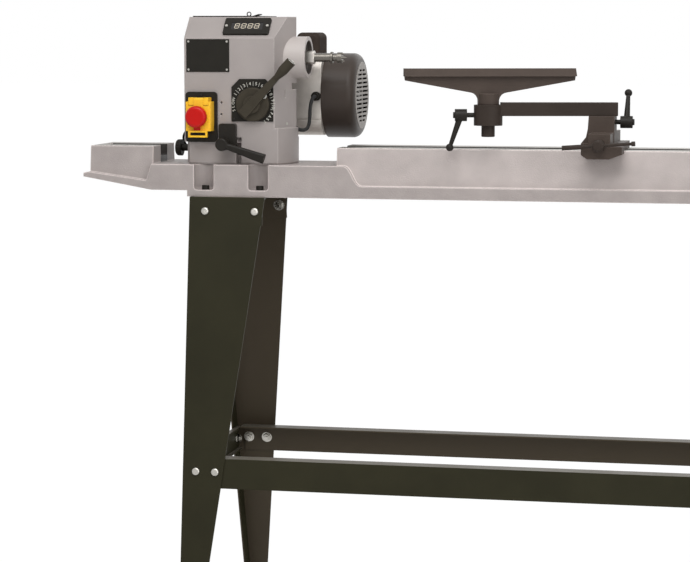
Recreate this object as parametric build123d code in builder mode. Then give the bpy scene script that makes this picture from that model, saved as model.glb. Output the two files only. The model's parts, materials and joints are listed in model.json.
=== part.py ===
from build123d import *

import os
from math import atan, cos, pi, radians, sin, tan

# Swivel head wood lathe on a folded steel stand.
# X runs along the spindle towards the tailstock, -Y faces the turner and Z is up from the floor.
# The origin is on the floor, in the middle of the machine's length and of the stand's depth.
# Sizes are in millimetres. px() measures along the bed from the axis that the head swivels on,
# and wz() measures height from the top of the bed's ways.

os.makedirs("parts", exist_ok=True)

# Fits
running_fit = 0.05
slide_fit = 0.1
hole_gap = 0.2
free_gap = 0.3

# Overall sizes
bed_left = 264.0
bed_right = 1249.0
stand_height = 800.0
bed_height = 85.0
centre_height = 152.4

# Stand of folded sheet
sheet = 2.5
leg_top_half = 86.0
leg_foot_half = 259.0
leg_top_width = 132.5
leg_foot_width = 24.0
leg_edge_lean = 22.0
leg_flange = 38.0
leg_left = 71.7
leg_right_inset = 60.0
foot_height = 10.0
foot_radius = 14.0
plate_drop = 48.0
plate_end_gap = 6.5
plate_inner_gap = 3.25
rail_top = 363.0
rail_height = 49.0
rail_lip = 30.0
rail_end_gap = 26.7
end_rail_height = 42.0
end_rail_drop = 3.0
end_rail_lip = 10.0
end_rail_half = 172.0

# Stand fasteners
bolt_radius = 4.0
dome_radius = 7.0
dome_height = 4.0
dome_round = 3.2
nut_radius = 7.5
nut_height = 6.5
nut_rim = 2.0
nut_flange = 1.2
thread_end = 2.0
plate_bolt_drop = 24.0
plate_bolt_offsets = (28.7, 116.2)
rail_bolt_z = 341.0
rail_bolt_offsets = (35.7, 69.2)
end_bolt_y = 160.0
leg_hole_cut = 4 * sheet
rail_hole_cut = 8 * sheet

# Bed casting
way_half = 63.5
slot_half = 20.5
way_depth = 18.0
recess_half = 72.0
flange_half = 80.0
flange_height = 21.0
undercut_half = 45.0
undercut_floor = 50.0
cavity_half = 50.0
cavity_bays = 4
rib = 14.0
gap_depth = 30.0
gap_right = 182.5
runout_crest = 12.0
runout = 46.0
block_left = 78.0
block_plate = 22.0
neck_left = 142.0
neck_run = 14.0
raised_left = 255.0
neck_bottom = 74.5
tip_top = 46.5
tip_bottom = 53.0
tip_rise = 2.0
neck_lip = 15.0
end_wall = 13.0
right_block = 210.0

# Bed bolts in their pockets
pocket_radius = 19.0
pocket_round = 5.0
pocket_y = 72.0
pocket_floor = 73.5
pocket_spread = 48.0
bed_bolt_y = 68.0
bed_bolt_radius = 4.0
bed_head_radius = 6.5
bed_head_height = 7.5
bed_socket_radius = 3.4
bed_socket_depth = 4.0
bed_nut_radius = 7.5
bed_nut_height = 6.5

# Swivel: post, groove and index holes
post_radius = 34.0
post_cap_radius = 40.0
post_cap = 7.0
stud_radius = 10.0
stud_nut_radius = 18.0
stud_nut_height = 14.0
groove_z = -5.0
groove_half = 5.5
groove_depth = 6.0
index_hole_depth = 8.0
index_angles = (180, 135, 90, 45, 0)

# Headstock casting
foot_disc_radius = 98.5
foot_disc_top = 14.5
foot_disc_left = -84.0
foot_rim_top = 32.0
foot_rim_back = 8.0
foot_reveal = 2.0
head_front = -60.0
head_left = -87.0
head_right = 97.0
front_right = 72.0
head_shoulder = 0.0
case_right = 48.0
head_rear = 190.0
head_bottom = 8.0
head_top = 222.0
head_slope = 36.0
wall = 8.0
side_wall = 10.0
boss_radius = 36.0
boss_right = 119.0
front_hollow = 66.0
recess_radius = 29.0
recess_depth = 8.0
pilot_x = -21.5
pilot_heights = (55.6, 75.7)
pilot_radius = 2.0
pilot_depth = 5.0
slit_y = -30.4
slit_low = 83.7
slit_high = 98.8
slit_width = 2.4
slit_depth = 6.0
notch_y = -12.4
notch_low = 98.0
notch_high = 108.5
notch_depth = 12.0
side_screw_y = -27.0
side_screw_z = 39.2
lid_opening = (-68.0, 14.0, 4.0, 152.0)
lid_front = -8.0
lid_back = 165.0
lid_right = 32.0
lid_sheet = 1.6
lid_tab = 25.0
lid_lift = 3.2
lid_pin = 1.5
lid_pin_drop = 2.6
lid_barrel = 2.9
lid_pin_over = 5.0
lid_bend = 10.0
lid_ring = 3.4
lid_ring_wire = 0.9
lid_ring_x = 12.0
lid_ring_y = 12.0

# Spindle, bearings and spur centre
spindle_radius = 10.0
spindle_left = -95.0
bearing_radius = 23.5
bearing_width = 14.0
bearing_right = 96.0
bearing_left = -81.0
collar_left = 113.0
collar_right = 129.3
collar_radius = 11.5
collar_flats = 16.0
nose_radius = 7.5
nose_ring = 158.0
spindle_nose = 162.0
nose_ring_radius = 9.8
socket_radius = 5.0
socket_depth = 42.0
spur_neck = 8.0
spur_head = 8.0
spur_radius = 9.0
spur_neck_radius = 6.3
spur_tip = 186.0
spur_point_radius = 2.7
spur_point_flat = 0.3
prongs = 4
prong = 4.0
prong_radius = 2.25
prong_flat = 0.5
prong_inset = 2.7

# Variable pulleys and belt
belt_x = -15.0
motor_y = 130.0
motor_z = 84.0
pulley_radius = 48.0
pulley_gap = 8.5
pulley_core = 20.0
pulley_hub_radius = 16.0
pulley_hub = 30.0
sliding_hub = 44.0
pulley_angle = 13.0
pulley_rim = 4.5
pulley_web = 5.0
belt_inner = 33.0
belt_thickness = 9.0
belt_gap = 0.3
fork_groove = (33.0, 40.0)
fork_groove_radius = 13.0

# Motor
motor_half = 70.0
motor_low = 15.0
motor_high = 153.0
motor_corner = 26.0
motor_split = 127.0
motor_end = 162.0
motor_core_radius = 68.0
stator_bore = 35.0
rotor_radius = 34.5
motor_bearing = (54.0, 142.0)
cover_radius = 74.5
cover_end = 186.5
cover_wall = 2.0
cover_round = 14.0
cover_seat = 6.0
cover_disc_radius = 59.0
cover_disc = 0.8
vent_radius = 50.0
vent_rows = 13
vent_pitch = 7.4
vent_depth = 10.0
vent_height = 3.4
vent_bar = 3.0
fan_radius = 60.0
fan_left = 166.5
fan_width = 14.0
fan_disc = 3.0
fan_blades = 6
fan_blade = 2.0
blade_start = 7.5
blade_end_gap = 1.5
motor_shaft_left = -75.0
spigot_radius = 30.0
groove_cut = 2.5
groove_rows = (42.0, 28.0)
capacitor_left = 74.0
capacitor_right = 116.0
capacitor_top = 195.0
capacitor_half = 35.0
capacitor_round = 10.0
capacitor_corner = 8.0

# Motor lead and its gland
gland_x = 118.6
gland_z = 84.0
gland_radius = 8.0
gland_length = 12.0
gland_nut = 7.2
gland_neck_radius = 6.0
lead_bends = (
    (0, -10, 0),
    (-2, -15, -6),
    (-5, -16, -18),
    (-6, -14, -44),
    (-10, -17, -58),
    (-24, -26, -58),
)
lead_across = 31.0
lead_fall = 46.0
lead_last = 12.0
lead_radius = 3.1

# Speed dial, lever and shift fork
dial_left = -3.0
dial_right = 70.5
dial_low = 43.7
dial_high = 116.3
dial_corner = 14.0
dial_thickness = 2.0
dial_x = 35.4
dial_z = 72.8
speed_disc_radius = 29.0
speed_disc = 8.0
speed_disc_round = 2.0
speed_boss = 5.0
speed_boss_radius = 14.5
speed_shaft = 6.0
speed_shaft_end = -32.0
speed_lever_angle = 46.5
speed_arm_root = 17.0
speed_arm_width = 9.5
speed_arm = 68.0
speed_arm_tail = 24.0
speed_arm_depth = 8.0
speed_grip_start = 62.0
speed_grip_neck = 5.0
speed_grip_swell = 18.0
speed_grip_radius = 8.8
speed_grip_end = 102.0
speed_grip_set = 5.0
speed_grip_round = 1.5
rack_height = 9.0
rack_y = (-49.0, -35.0)
rack_half = 34.0
fork_height = 24.0
fork_web_half = 12.0

# Display, data plate and their screws
display_length = 81.0
display_width = 38.0
display_x = 20.5
display_thickness = 4.0
window_length = 56.0
window_width = 17.0
window_depth = 2.0
window_glass = 1.4
name_left = -83.0
name_right = -7.0
name_low = 128.0
name_high = 184.0
name_thickness = 1.0
screw_radius = 2.4
rivet_radius = 1.8
screw_head = 1.0
rivet_inset = 4.0
screw_inset = 4.5
plate_screw_z = 89.0

# Switch
switch_plate_left = -83.5
switch_plate_right = -28.0
switch_plate_low = 8.0
switch_plate_high = 94.0
switch_plate_thickness = 6.0
switch_corner = 6.0
switch_left = -77.0
switch_right = -33.0
switch_low = 27.5
switch_high = 77.7
switch_depth = 16.0
button_radius = 7.0
button_x = -55.0
start_z = 66.0
stop_z = 42.0
button_proud = 2.0
button_stem = 2.8
button_travel = 5.0
button_length = 12.0
flap_gap = 0.5
flap_thickness = 3.5
flap_pin_radius = 2.0
flap_barrel_radius = 3.2
flap_pin_z = 81.5
ear_inset = 4.5
ear_width = 9.0
ear_drop = 6.0
latch_left = -72.0
latch_right = -38.4
latch_low = 17.0
latch_proud = 4.0
latch_rim = 3.2
mushroom_x = -56.7
mushroom_z = 52.0
mushroom_radius = 18.8
mushroom_neck = 9.0
mushroom_stem = 5.0
mushroom_height = 10.0
mushroom_round = 6.0
mushroom_tab_half = 5.4
mushroom_tab_low = 28.6
mushroom_tab = 3.0

# Head lock and index plunger
lock_x = -14.0
lock_z = 5.0
stud_clear = 1.5
lock_stud = 5.0
lock_block_left = -23.5
lock_block_right = 6.0
lock_block_low = -4.0
lock_block_high = 40.0
lock_block_round = 4.0
lock_block_depth = 12.0
lock_hub_radius = 11.0
lock_hub = 20.0
lock_hub_round = 3.0
lock_lever = 78.0
lock_lever_set = 14.0
lock_lever_root = (9.0, 10.0)
lock_lever_tip = (11.5, 17.0)
lock_lever_corner = 4.0
lock_lever_angle = -18.0
lock_slot = (4.0, 14.0)
lock_slot_top = 16.0
lock_slot_depth = 20.0
knob_radius = 14.3
knob_left = -119.0
knob_right = -108.0
knob_flutes = 14
knob_round = 5.0
flute_radius = 1.8
flute_set = 0.8
flute_end = 3.0
plunger_radius = 6.0
plunger_nose = 4.5
plunger_room = 9.0
plunger_step = -60.0
plunger_tip = -28.6

# Clamp that pulls a foot down on the ways: cam shaft, eye bolt and plate
cam_z = 11.0
cam_radius = 8.0
cam_throw = 3.0
cam_pin = 4.9
cam_waist = 9.5
cam_back = 44.0
eye_radius = 11.5
eye_half = 8.5
eye_slot_x = 8.2
eye_slot_z = 5.5
eye_pocket_low = 20.0
eye_pocket = 13.0
clamp_shank = 6.0
clamp_plate_x = 30.0
clamp_plate_y = 38.0
clamp_plate = 10.5
clamp_corner = 5.0
clamp_head_radius = 10.0
clamp_head = 8.0

# Tool rest
rest_x = 633.0
rest_foot_left = 36.0
rest_foot_right = 34.0
rest_foot_front = -60.0
rest_foot_back = 62.0
rest_foot = 12.0
rest_rib_half = 18.0
rest_rib = 30.0
rest_nose = -112.0
rest_pad_back = -70.0
rest_pad = ((-30, 9), (-30, -5), (-20, -11.7), (16, -11.7), (37, -4), (37, 9))
riser_front = -57.0
riser_back = -13.0
riser_top = 57.0
riser_outline = ((-36, 0), (-36, 12), (-28, 22), (-25, 36), (-23.7, riser_top), (19, riser_top), (19, 0))
arm_pivot_x = 631.0
arm_pivot_y = -35.0
arm_pin = 9.0
arm_pin_length = 30.0
arm_angle = 12.0
arm_reach = 192.0
arm_tail = 24.0
arm_half = 12.5
arm_height = 22.5
socket_drop = 16.0
socket_height = 34.6
socket_boss = 24.0
arm_lock_z = 47.0
arm_lock_screw = 20.0
arm_lock_lever = 55.0
arm_lock_way = (0, 0.5, 0.87)
rest_post_radius = 11.3
rest_post_low = 22.0
rest_post_high = 90.0
rest_lock_screw = 24.0
rest_lock_lever = 57.0
rest_lock_lean = 0.34
t_rest_angle = 16.0
t_rest_left = 141.5
t_rest_right = 147.0
t_rest_top = 136.0
t_rest_web = 6.0
t_rest_lip = ((-15, 123), (-3, t_rest_top), (10, t_rest_top), (10, 123))
t_rest_hub = 17.5
t_rest_hub_high = 94.0
t_rest_flare = 18.0
t_rest_flare_round = 14.0
t_rest_edge = 20.0
t_bar_radius = 2.6
t_bar_grip = 4.0
t_bar_grip_length = 36.0
t_bar_stop = 6.0
t_bar_left = 60.0
t_bar_right = 60.0
t_bar_tilt = 4.0
cam_hub_radius = 10.0
cam_hub = 22.0
cam_hub_round = 4.0

# Clamp levers with a ball
lever_hole = 40.0
lever_screw = 4.0
lever_hub_radius = 10.2
lever_hub = 20.0
lever_nub = 3.0
ball_radius = 6.5
lever_root_radius = 5.61
lever_end_radius = 3.25

# Tailstock
tail_x = 880.0
tail_length = 100.0
tail_foot = 24.0
tail_foot_half = 62.0
tail_neck_half = 24.0
tail_column_half = 42.0
tail_column_set = 10.0
tail_tongue = 10.0
tail_tongue_set = 15.0
barrel_radius = 30.0
barrel_left = 884.0
barrel_right = 990.0
quill_radius = 16.0
quill_left = 878.0
quill_right = 960.0
quill_socket = 8.0
quill_socket_depth = 30.0
screw_core = 7.0
screw_left = 900.0
point_tip = 850.0
point_cone = 14.0
point_radius = 9.0
point_body = 14.0
point_flat = 0.3
point_gap = 4.0
wheel_radius = 54.0
wheel_rim = 10.0
wheel_width = 14.0
wheel_hub = 14.0
wheel_hub_length = 24.0
wheel_set = 6.0
wheel_round = 5.0
spokes = 3
spoke_root = 6.75
spoke_bite = 3.25
spoke_width = 11.0
spoke_depth = 8.0
crank_radius = 7.0
crank_length = 35.0
quill_lock_x = 910.0
quill_lock_screw = 18.0
quill_lock_lever = 45.0
quill_lock_way = (0.25, -0.95, 0.2)
tail_lever = 80.0
tail_lever_way = (0.7, -0.1, 0.7)
tail_lever_root = 6.5
tail_lever_end = 4.5
tail_ball = 8.5

# Worked out from the sizes above
pivot_x = (bed_left - bed_right) / 2
way_z = stand_height + bed_height
leg_slope = (leg_foot_half - leg_top_half) / stand_height
lean = atan(leg_slope)
sheet_y = sheet / cos(lean)
pulley_slope = tan(radians(pulley_angle))
belt_half = pulley_gap + (belt_inner - pulley_core) * pulley_slope - belt_gap

on_base = (Align.CENTER, Align.CENTER, Align.MIN)
at_corner = (Align.MIN, Align.MIN, Align.MIN)
right = (1, 0, 0)
left = (-1, 0, 0)
to_turner = (0, -1, 0)
to_back = (0, 1, 0)
up = (0, 0, 1)
down = (0, 0, -1)


def px(x):
    """Place along the bed, measured from the head's swivel axis."""
    return pivot_x + x


def wz(z):
    """Height measured from the top of the ways."""
    return way_z + z


def side(x):
    """Plane across the bed: sketch in Y and Z, extruded towards +X."""
    return Plane(origin=(x, 0, 0), x_dir=(0, 1, 0), z_dir=right)


def front(y):
    """Upright plane along the bed: sketch in X and Z, extruded towards the turner."""
    return Plane(origin=(0, y, 0), x_dir=right, z_dir=to_turner)


def level(z):
    """Level plane: sketch in X and Y, extruded upwards."""
    return Plane.XY.offset(z)


def rod(start, direction, radius, length, mode=Mode.ADD):
    """Round bar from a start point along a direction, in the part that is open."""
    with Locations(Plane(origin=start, z_dir=direction)):
        Cylinder(radius, length, align=on_base, mode=mode)


def block(low, high, mode=Mode.ADD):
    """Square block between two corners, in the part that is open."""
    size = [b - a for a, b in zip(low, high)]
    with Locations(low):
        Box(*size, align=at_corner, mode=mode)


def slab(plane, points, amount, both=False, mode=Mode.ADD):
    """Closed outline of straight edges, extruded square to its plane, in the part that is open."""
    with BuildSketch(plane) as outline:
        Polygon(*points)
    extrude(outline.sketch, amount=amount, both=both, mode=mode)


def clamp_lever(seat, axis, screw_length, lever, lever_length):
    """Screw, round hub with a nub, tapered lever and ball; the screw's tip is at the seat."""
    hub_start = Vector(*seat) + Vector(*axis) * screw_length
    hub_end = hub_start + Vector(*axis) * lever_hub
    hub_middle = hub_start + Vector(*axis) * (lever_hub / 2)
    rod(seat, axis, lever_screw, screw_length + lever_hub / 2)
    rod(hub_start, axis, lever_hub_radius, lever_hub)
    rod(hub_end, axis, lever_hub_radius / 2, lever_nub)
    with Locations(Plane(origin=hub_middle, z_dir=lever)):
        Cone(lever_root_radius, lever_end_radius, lever_length, align=on_base)
    with Locations(hub_middle + Vector(*lever).normalized() * lever_length):
        Sphere(ball_radius)


def leg_y(z):
    """Distance of a leg's outer face from the middle of the stand, at a height."""
    return leg_top_half + leg_slope * (stand_height - z)


def edge_x(x, hand, z):
    """Outer edge of a leg at a height; x is its place at the top, hand is 1 at the left end."""
    return x + hand * leg_edge_lean * (1 - z / stand_height)


def inner_x(x, hand, z):
    """Inner edge of a leg at a height."""
    foot = leg_edge_lean + leg_foot_width
    return x + hand * (foot + (leg_top_width - foot) * z / stand_height)


def leg_plane(x, sign, z):
    """Plane on a leg's outer face, looking outwards; sign is -1 in front and 1 behind."""
    return Plane(origin=(x, sign * leg_y(z), z), z_dir=(0, sign * cos(lean), sin(lean)))


# Stand: four tapered legs with a folded side flange and a foot tab
leg_left_x = px(-leg_left)
leg_right_x = px(bed_right - leg_right_inset)
ends = (("left", leg_left_x, 1), ("right", leg_right_x, -1))
rows = (("front", -1), ("rear", 1))
corners = [(row, sign, end, x, hand) for row, sign in rows for end, x, hand in ends]
plate_bolt_z = stand_height - plate_bolt_drop
end_rail_top = rail_top - end_rail_drop
end_rail_low = end_rail_top - end_rail_height
end_bolt_z = (end_rail_top + end_rail_low) / 2


def plate_planes(x, hand, sign):
    """Bolts that hold a leg to the plate under the bed."""
    return [leg_plane(x + hand * offset, sign, plate_bolt_z) for offset in plate_bolt_offsets]


def rail_planes(x, hand, sign):
    """Bolts that hold a long rail to a leg."""
    return [leg_plane(x + hand * offset, sign, rail_bolt_z) for offset in rail_bolt_offsets]


def end_plane(x, hand, sign):
    """Bolt that holds an end rail to a leg's side flange."""
    outer = edge_x(x, hand, end_bolt_z)
    tilt = leg_edge_lean / stand_height
    return Plane(origin=(outer, sign * end_bolt_y, end_bolt_z), z_dir=(-hand, 0, -tilt))


def foot_place(x, hand, sign):
    """Middle of a foot, under a leg's tab."""
    middle = edge_x(x, hand, foot_height) + hand * leg_foot_width / 2
    return (middle, sign * (leg_y(foot_height) - leg_flange / 2))


made = {}
leg_bolt_planes = []
for row, sign, end, x, hand in corners:
    leg_bolt_planes += plate_planes(x, hand, sign) + rail_planes(x, hand, sign)
    leg_bolt_planes.append(end_plane(x, hand, sign))
    with BuildPart() as leg:
        top_y = leg_top_half
        foot_y = leg_y(foot_height)
        strip = (
            (edge_x(x, hand, stand_height), stand_height),
            (edge_x(x, hand, foot_height), foot_height),
            (edge_x(x, hand, foot_height) + hand * sheet, foot_height),
            (edge_x(x, hand, stand_height) + hand * sheet, stand_height),
        )
        slab(front(0), strip, leg_foot_half, both=True)
        flange = (
            (sign * top_y, stand_height),
            (sign * foot_y, foot_height),
            (sign * (foot_y - leg_flange), foot_height),
            (sign * (top_y - leg_flange), stand_height),
        )
        slab(side(x - hand), flange, hand * leg_top_width, mode=Mode.INTERSECT)
        face = (
            (sign * top_y, stand_height),
            (sign * foot_y, foot_height),
            (sign * (foot_y - sheet_y), foot_height),
            (sign * (top_y - sheet_y), stand_height),
        )
        slab(side(x), face, hand * leg_top_width)
        above = stand_height + 1
        below = foot_height - 1
        for edge, beyond in ((edge_x, x - 2 * hand), (inner_x, x + hand * (leg_top_width + 2))):
            taper = (
                (edge(x, hand, above), above),
                (edge(x, hand, below), below),
                (beyond, below),
                (beyond, above),
            )
            slab(front(0), taper, leg_foot_half, both=True, mode=Mode.SUBTRACT)
        tab_outer = sign * leg_y(foot_height + sheet)
        tab_inner = sign * (foot_y - leg_flange)
        tab_left = edge_x(x, hand, foot_height)
        tab = (
            (tab_left, tab_inner),
            (tab_left + hand * leg_foot_width, tab_inner),
            (tab_left + hand * leg_foot_width, tab_outer),
            (tab_left, tab_outer),
        )
        slab(level(foot_height), tab, sheet)
        rod((*foot_place(x, hand, sign), 0), up, bolt_radius + hole_gap, 2 * foot_height, Mode.SUBTRACT)
        with Locations(*plate_planes(x, hand, sign), *rail_planes(x, hand, sign), end_plane(x, hand, sign)):
            Cylinder(bolt_radius + hole_gap, leg_hole_cut, mode=Mode.SUBTRACT)
    made[f"leg_{row}_{end}"] = leg

# Long rails: a leaning web with a deep top lip
rail_low = rail_top - rail_height
rail_inset = leg_left_x + rail_end_gap
rail_length = (leg_right_x - rail_end_gap) - rail_inset


def rail_y(z):
    """Outer face of a long rail, which lies against the inside of the legs."""
    return leg_y(z) - sheet_y


with BuildPart() as long_rails:
    for row, sign in rows:
        section = (
            (sign * rail_y(rail_top), rail_top),
            (sign * rail_y(rail_low), rail_low),
            (sign * (rail_y(rail_low) - sheet_y), rail_low),
            (sign * (rail_y(rail_top - sheet) - sheet_y), rail_top - sheet),
            (sign * (rail_y(rail_top) - rail_lip), rail_top - sheet),
            (sign * (rail_y(rail_top) - rail_lip), rail_top),
        )
        slab(side(rail_inset), section, rail_length)
    for row, sign, end, x, hand in corners:
        with Locations(*rail_planes(x, hand, sign)):
            Cylinder(bolt_radius + hole_gap, rail_hole_cut, mode=Mode.SUBTRACT)

# End rails: channels between the front and the rear leg of each end
with BuildPart() as end_rails:
    for end, x, hand in ends:
        places = (
            (0, end_rail_top),
            (0, end_rail_low),
            (end_rail_lip, end_rail_low),
            (end_rail_lip, end_rail_low + sheet),
            (sheet, end_rail_low + sheet),
            (sheet, end_rail_top - sheet),
            (end_rail_lip, end_rail_top - sheet),
            (end_rail_lip, end_rail_top),
        )
        section = [(edge_x(x, hand, z) + hand * (sheet + inwards), z) for inwards, z in places]
        slab(front(0), section, end_rail_half, both=True)
    for row, sign, end, x, hand in corners:
        with Locations(end_plane(x, hand, sign)):
            Cylinder(bolt_radius + hole_gap, rail_hole_cut, mode=Mode.SUBTRACT)

# Plates under the bed, folded down in front and behind to meet the legs
bed_bolt_places = []
for end, x, hand in ends:
    middle = x + hand * leg_top_width / 2 + (px(0) - leg_left_x - leg_top_width / 2) * hand
    for spread in (-pocket_spread, pocket_spread):
        for row, sign in rows:
            bed_bolt_places.append((middle + spread, sign))

with BuildPart() as top_plates:
    plate_y = leg_top_half - sheet_y
    low_z = stand_height - plate_drop
    low_y = leg_y(low_z) - sheet_y
    inner_y = leg_y(stand_height - sheet) - 2 * sheet_y
    section = (
        (-plate_y, stand_height),
        (plate_y, stand_height),
        (low_y, low_z),
        (low_y - sheet_y, low_z),
        (inner_y, stand_height - sheet),
        (-inner_y, stand_height - sheet),
        (sheet_y - low_y, low_z),
        (-low_y, low_z),
    )
    for end, x, hand in ends:
        plate_length = leg_top_width - plate_end_gap - plate_inner_gap
        slab(side(x + hand * plate_end_gap), section, hand * plate_length)
    for row, sign, end, x, hand in corners:
        with Locations(*plate_planes(x, hand, sign)):
            Cylinder(bolt_radius + hole_gap, rail_hole_cut, mode=Mode.SUBTRACT)
    for x, sign in bed_bolt_places:
        hole = (x, sign * bed_bolt_y, stand_height - 2 * sheet)
        rod(hole, up, bed_bolt_radius + hole_gap, leg_hole_cut, Mode.SUBTRACT)

# Rubber feet, each with a stud through its leg's tab
foot_stud = foot_height + sheet + nut_height + thread_end
with BuildPart() as foot_pads:
    for row, sign, end, x, hand in corners:
        rod((*foot_place(x, hand, sign), 0), up, foot_radius, foot_height)
        rod((*foot_place(x, hand, sign), 0), up, bolt_radius, foot_stud)

# Carriage bolts of the stand
with BuildPart() as carriage_bolt:
    Cylinder(dome_radius, dome_height, align=on_base)
    fillet(carriage_bolt.edges().group_by(Axis.Z)[-1], dome_round)
    rod((0, 0, 0), down, bolt_radius, 2 * sheet + nut_height + thread_end)

with BuildPart() as stand_bolts:
    with Locations(*leg_bolt_planes):
        add(carriage_bolt.part)

# Nuts of the stand, the feet, the bed bolts and the swivel post
def nut(plane, circle, hole, height):
    """Flanged hexagon nut with its seat on a plane; a height below zero puts it under the plane."""
    with BuildSketch(plane) as hexagon:
        RegularPolygon(circle, 6)
        Circle(hole, mode=Mode.SUBTRACT)
    extrude(hexagon.sketch, amount=height)
    with BuildSketch(plane) as flange_ring:
        Circle(circle + nut_rim)
        Circle(hole, mode=Mode.SUBTRACT)
    extrude(flange_ring.sketch, amount=nut_flange if height > 0 else -nut_flange)


with BuildPart() as frame_nuts:
    for plane in leg_bolt_planes:
        nut(plane.offset(-2 * sheet), nut_radius, bolt_radius + running_fit, -nut_height)
    for row, sign, end, x, hand in corners:
        seat = Plane((*foot_place(x, hand, sign), foot_height + sheet))
        nut(seat, nut_radius, bolt_radius + running_fit, nut_height)
    for x, sign in bed_bolt_places:
        seat = Plane((x, sign * bed_bolt_y, stand_height - sheet))
        nut(seat, bed_nut_radius, bed_bolt_radius + running_fit, -bed_nut_height)
    stud_seat = Plane((px(0), 0, wz(-gap_depth - block_plate)))
    nut(stud_seat, stud_nut_radius, stud_radius + running_fit, -stud_nut_height)

# Bed: ways and slot, low gap under the head, raised length at the left
flange_top = wz(flange_height - bed_height)
with BuildPart() as pocket:
    Cylinder(pocket_radius, pocket_floor - gap_depth, align=on_base)
    fillet(pocket.edges().group_by(Axis.Z)[0], pocket_round)

with BuildPart() as bed:
    ways = (
        (-way_half, wz(0)),
        (way_half, wz(0)),
        (recess_half, flange_top),
        (flange_half, flange_top),
        (flange_half, wz(-bed_height)),
        (-flange_half, wz(-bed_height)),
        (-flange_half, flange_top),
        (-recess_half, flange_top),
    )
    slab(side(px(gap_right)), ways, bed_right - gap_right)
    block((px(-block_left), -flange_half, wz(-bed_height)), (px(gap_right), flange_half, wz(-gap_depth)))
    # The thick part under the head runs out into the flange in a long curve
    crest = (px(gap_right + runout_crest), wz(-gap_depth))
    toe = (px(gap_right + runout), flange_top)
    midway = (crest[0] + toe[0]) / 2
    for sign in (-1, 1):
        with BuildSketch(front(sign * flange_half)) as runout_face:
            with BuildLine():
                Bezier(crest, (midway, crest[1]), (midway, toe[1]), toe)
                Polyline(toe, (px(gap_right), toe[1]), (px(gap_right), crest[1]), crest)
            make_face()
        extrude(runout_face.sketch, amount=sign * (flange_half - way_half))
    # Neck and raised length left of the head, on a flange that rises towards its tip
    neck = (
        (px(-neck_left), wz(-gap_depth)),
        (px(-block_left), wz(-gap_depth)),
        (px(-block_left), wz(-neck_bottom)),
        (px(-neck_left - neck_run), wz(-neck_bottom)),
    )
    slab(front(0), neck, flange_half, both=True)
    raised = (
        (-way_half, wz(0)),
        (way_half, wz(0)),
        (recess_half, wz(-neck_bottom)),
        (-recess_half, wz(-neck_bottom)),
    )
    slab(side(px(-raised_left)), raised, raised_left - neck_left)
    tip = (
        (px(-bed_left), wz(-tip_top)),
        (px(-raised_left), wz(-tip_top + tip_rise)),
        (px(-neck_left), wz(-neck_bottom + neck_lip)),
        (px(-block_left), wz(-neck_bottom + neck_lip)),
        (px(-block_left), wz(-neck_bottom)),
        (px(-neck_left), wz(-neck_bottom)),
        (px(-bed_left), wz(-tip_bottom)),
    )
    slab(front(0), tip, flange_half, both=True)
    under_tip = (
        (px(-bed_left - 1), wz(-tip_bottom + 0.2)),
        (px(-neck_left), wz(-neck_bottom)),
        (px(-neck_left), wz(-bed_height)),
        (px(-bed_left - 1), wz(-bed_height)),
    )
    slab(front(0), under_tip, flange_half + 1, both=True, mode=Mode.SUBTRACT)
    # Slots between the ways and the undercuts that the clamp plates run in
    block(
        (px(gap_right - 1), -slot_half, wz(-way_depth - 1)),
        (px(bed_right - end_wall), slot_half, wz(1)),
        Mode.SUBTRACT,
    )
    block(
        (px(gap_right + rib), -undercut_half, wz(-undercut_floor)),
        (px(bed_right - end_wall), undercut_half, wz(-way_depth)),
        Mode.SUBTRACT,
    )
    block(
        (px(end_wall - raised_left), -slot_half, wz(-way_depth - 1)),
        (px(1 - neck_left), slot_half, wz(1)),
        Mode.SUBTRACT,
    )
    block(
        (px(end_wall - raised_left), -undercut_half, wz(-bed_height)),
        (px(-neck_left - rib), undercut_half, wz(-way_depth)),
        Mode.SUBTRACT,
    )
    # Hollows from below, with ribs between them
    bay_start = gap_right + 2 * rib
    bay = (bed_right - right_block - bay_start + rib) / cavity_bays
    for number in range(cavity_bays):
        bay_left = px(bay_start + number * bay)
        block(
            (bay_left, -cavity_half, wz(-bed_height - 1)),
            (bay_left + bay - rib, cavity_half, wz(-undercut_floor + 1)),
            Mode.SUBTRACT,
        )
    block(
        (px(rib - block_left), -undercut_half, wz(-bed_height - 1)),
        (px(gap_right - rib), undercut_half, wz(-gap_depth - block_plate)),
        Mode.SUBTRACT,
    )
    # Pockets, bolt holes and the hole for the swivel post
    with Locations(*[(x, sign * pocket_y, wz(-pocket_floor)) for x, sign in bed_bolt_places]):
        add(pocket.part, mode=Mode.SUBTRACT)
    for x, sign in bed_bolt_places:
        hole = (x, sign * bed_bolt_y, wz(-bed_height - 1))
        rod(hole, up, bed_bolt_radius + hole_gap, bed_height - pocket_floor + 2, Mode.SUBTRACT)
    rod((px(0), 0, wz(-bed_height)), up, stud_radius + hole_gap, bed_height, Mode.SUBTRACT)

with BuildPart() as bed_bolts:
    for x, sign in bed_bolt_places:
        rod((x, sign * bed_bolt_y, wz(-pocket_floor)), up, bed_head_radius, bed_head_height)
        shank = bed_height - pocket_floor + sheet + bed_nut_height + thread_end
        rod((x, sign * bed_bolt_y, wz(-pocket_floor)), down, bed_bolt_radius, shank)
        with BuildSketch(Plane((x, sign * bed_bolt_y, wz(bed_head_height - pocket_floor)))) as socket:
            RegularPolygon(bed_socket_radius, 6)
        extrude(socket.sketch, amount=-bed_socket_depth, mode=Mode.SUBTRACT)

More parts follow.
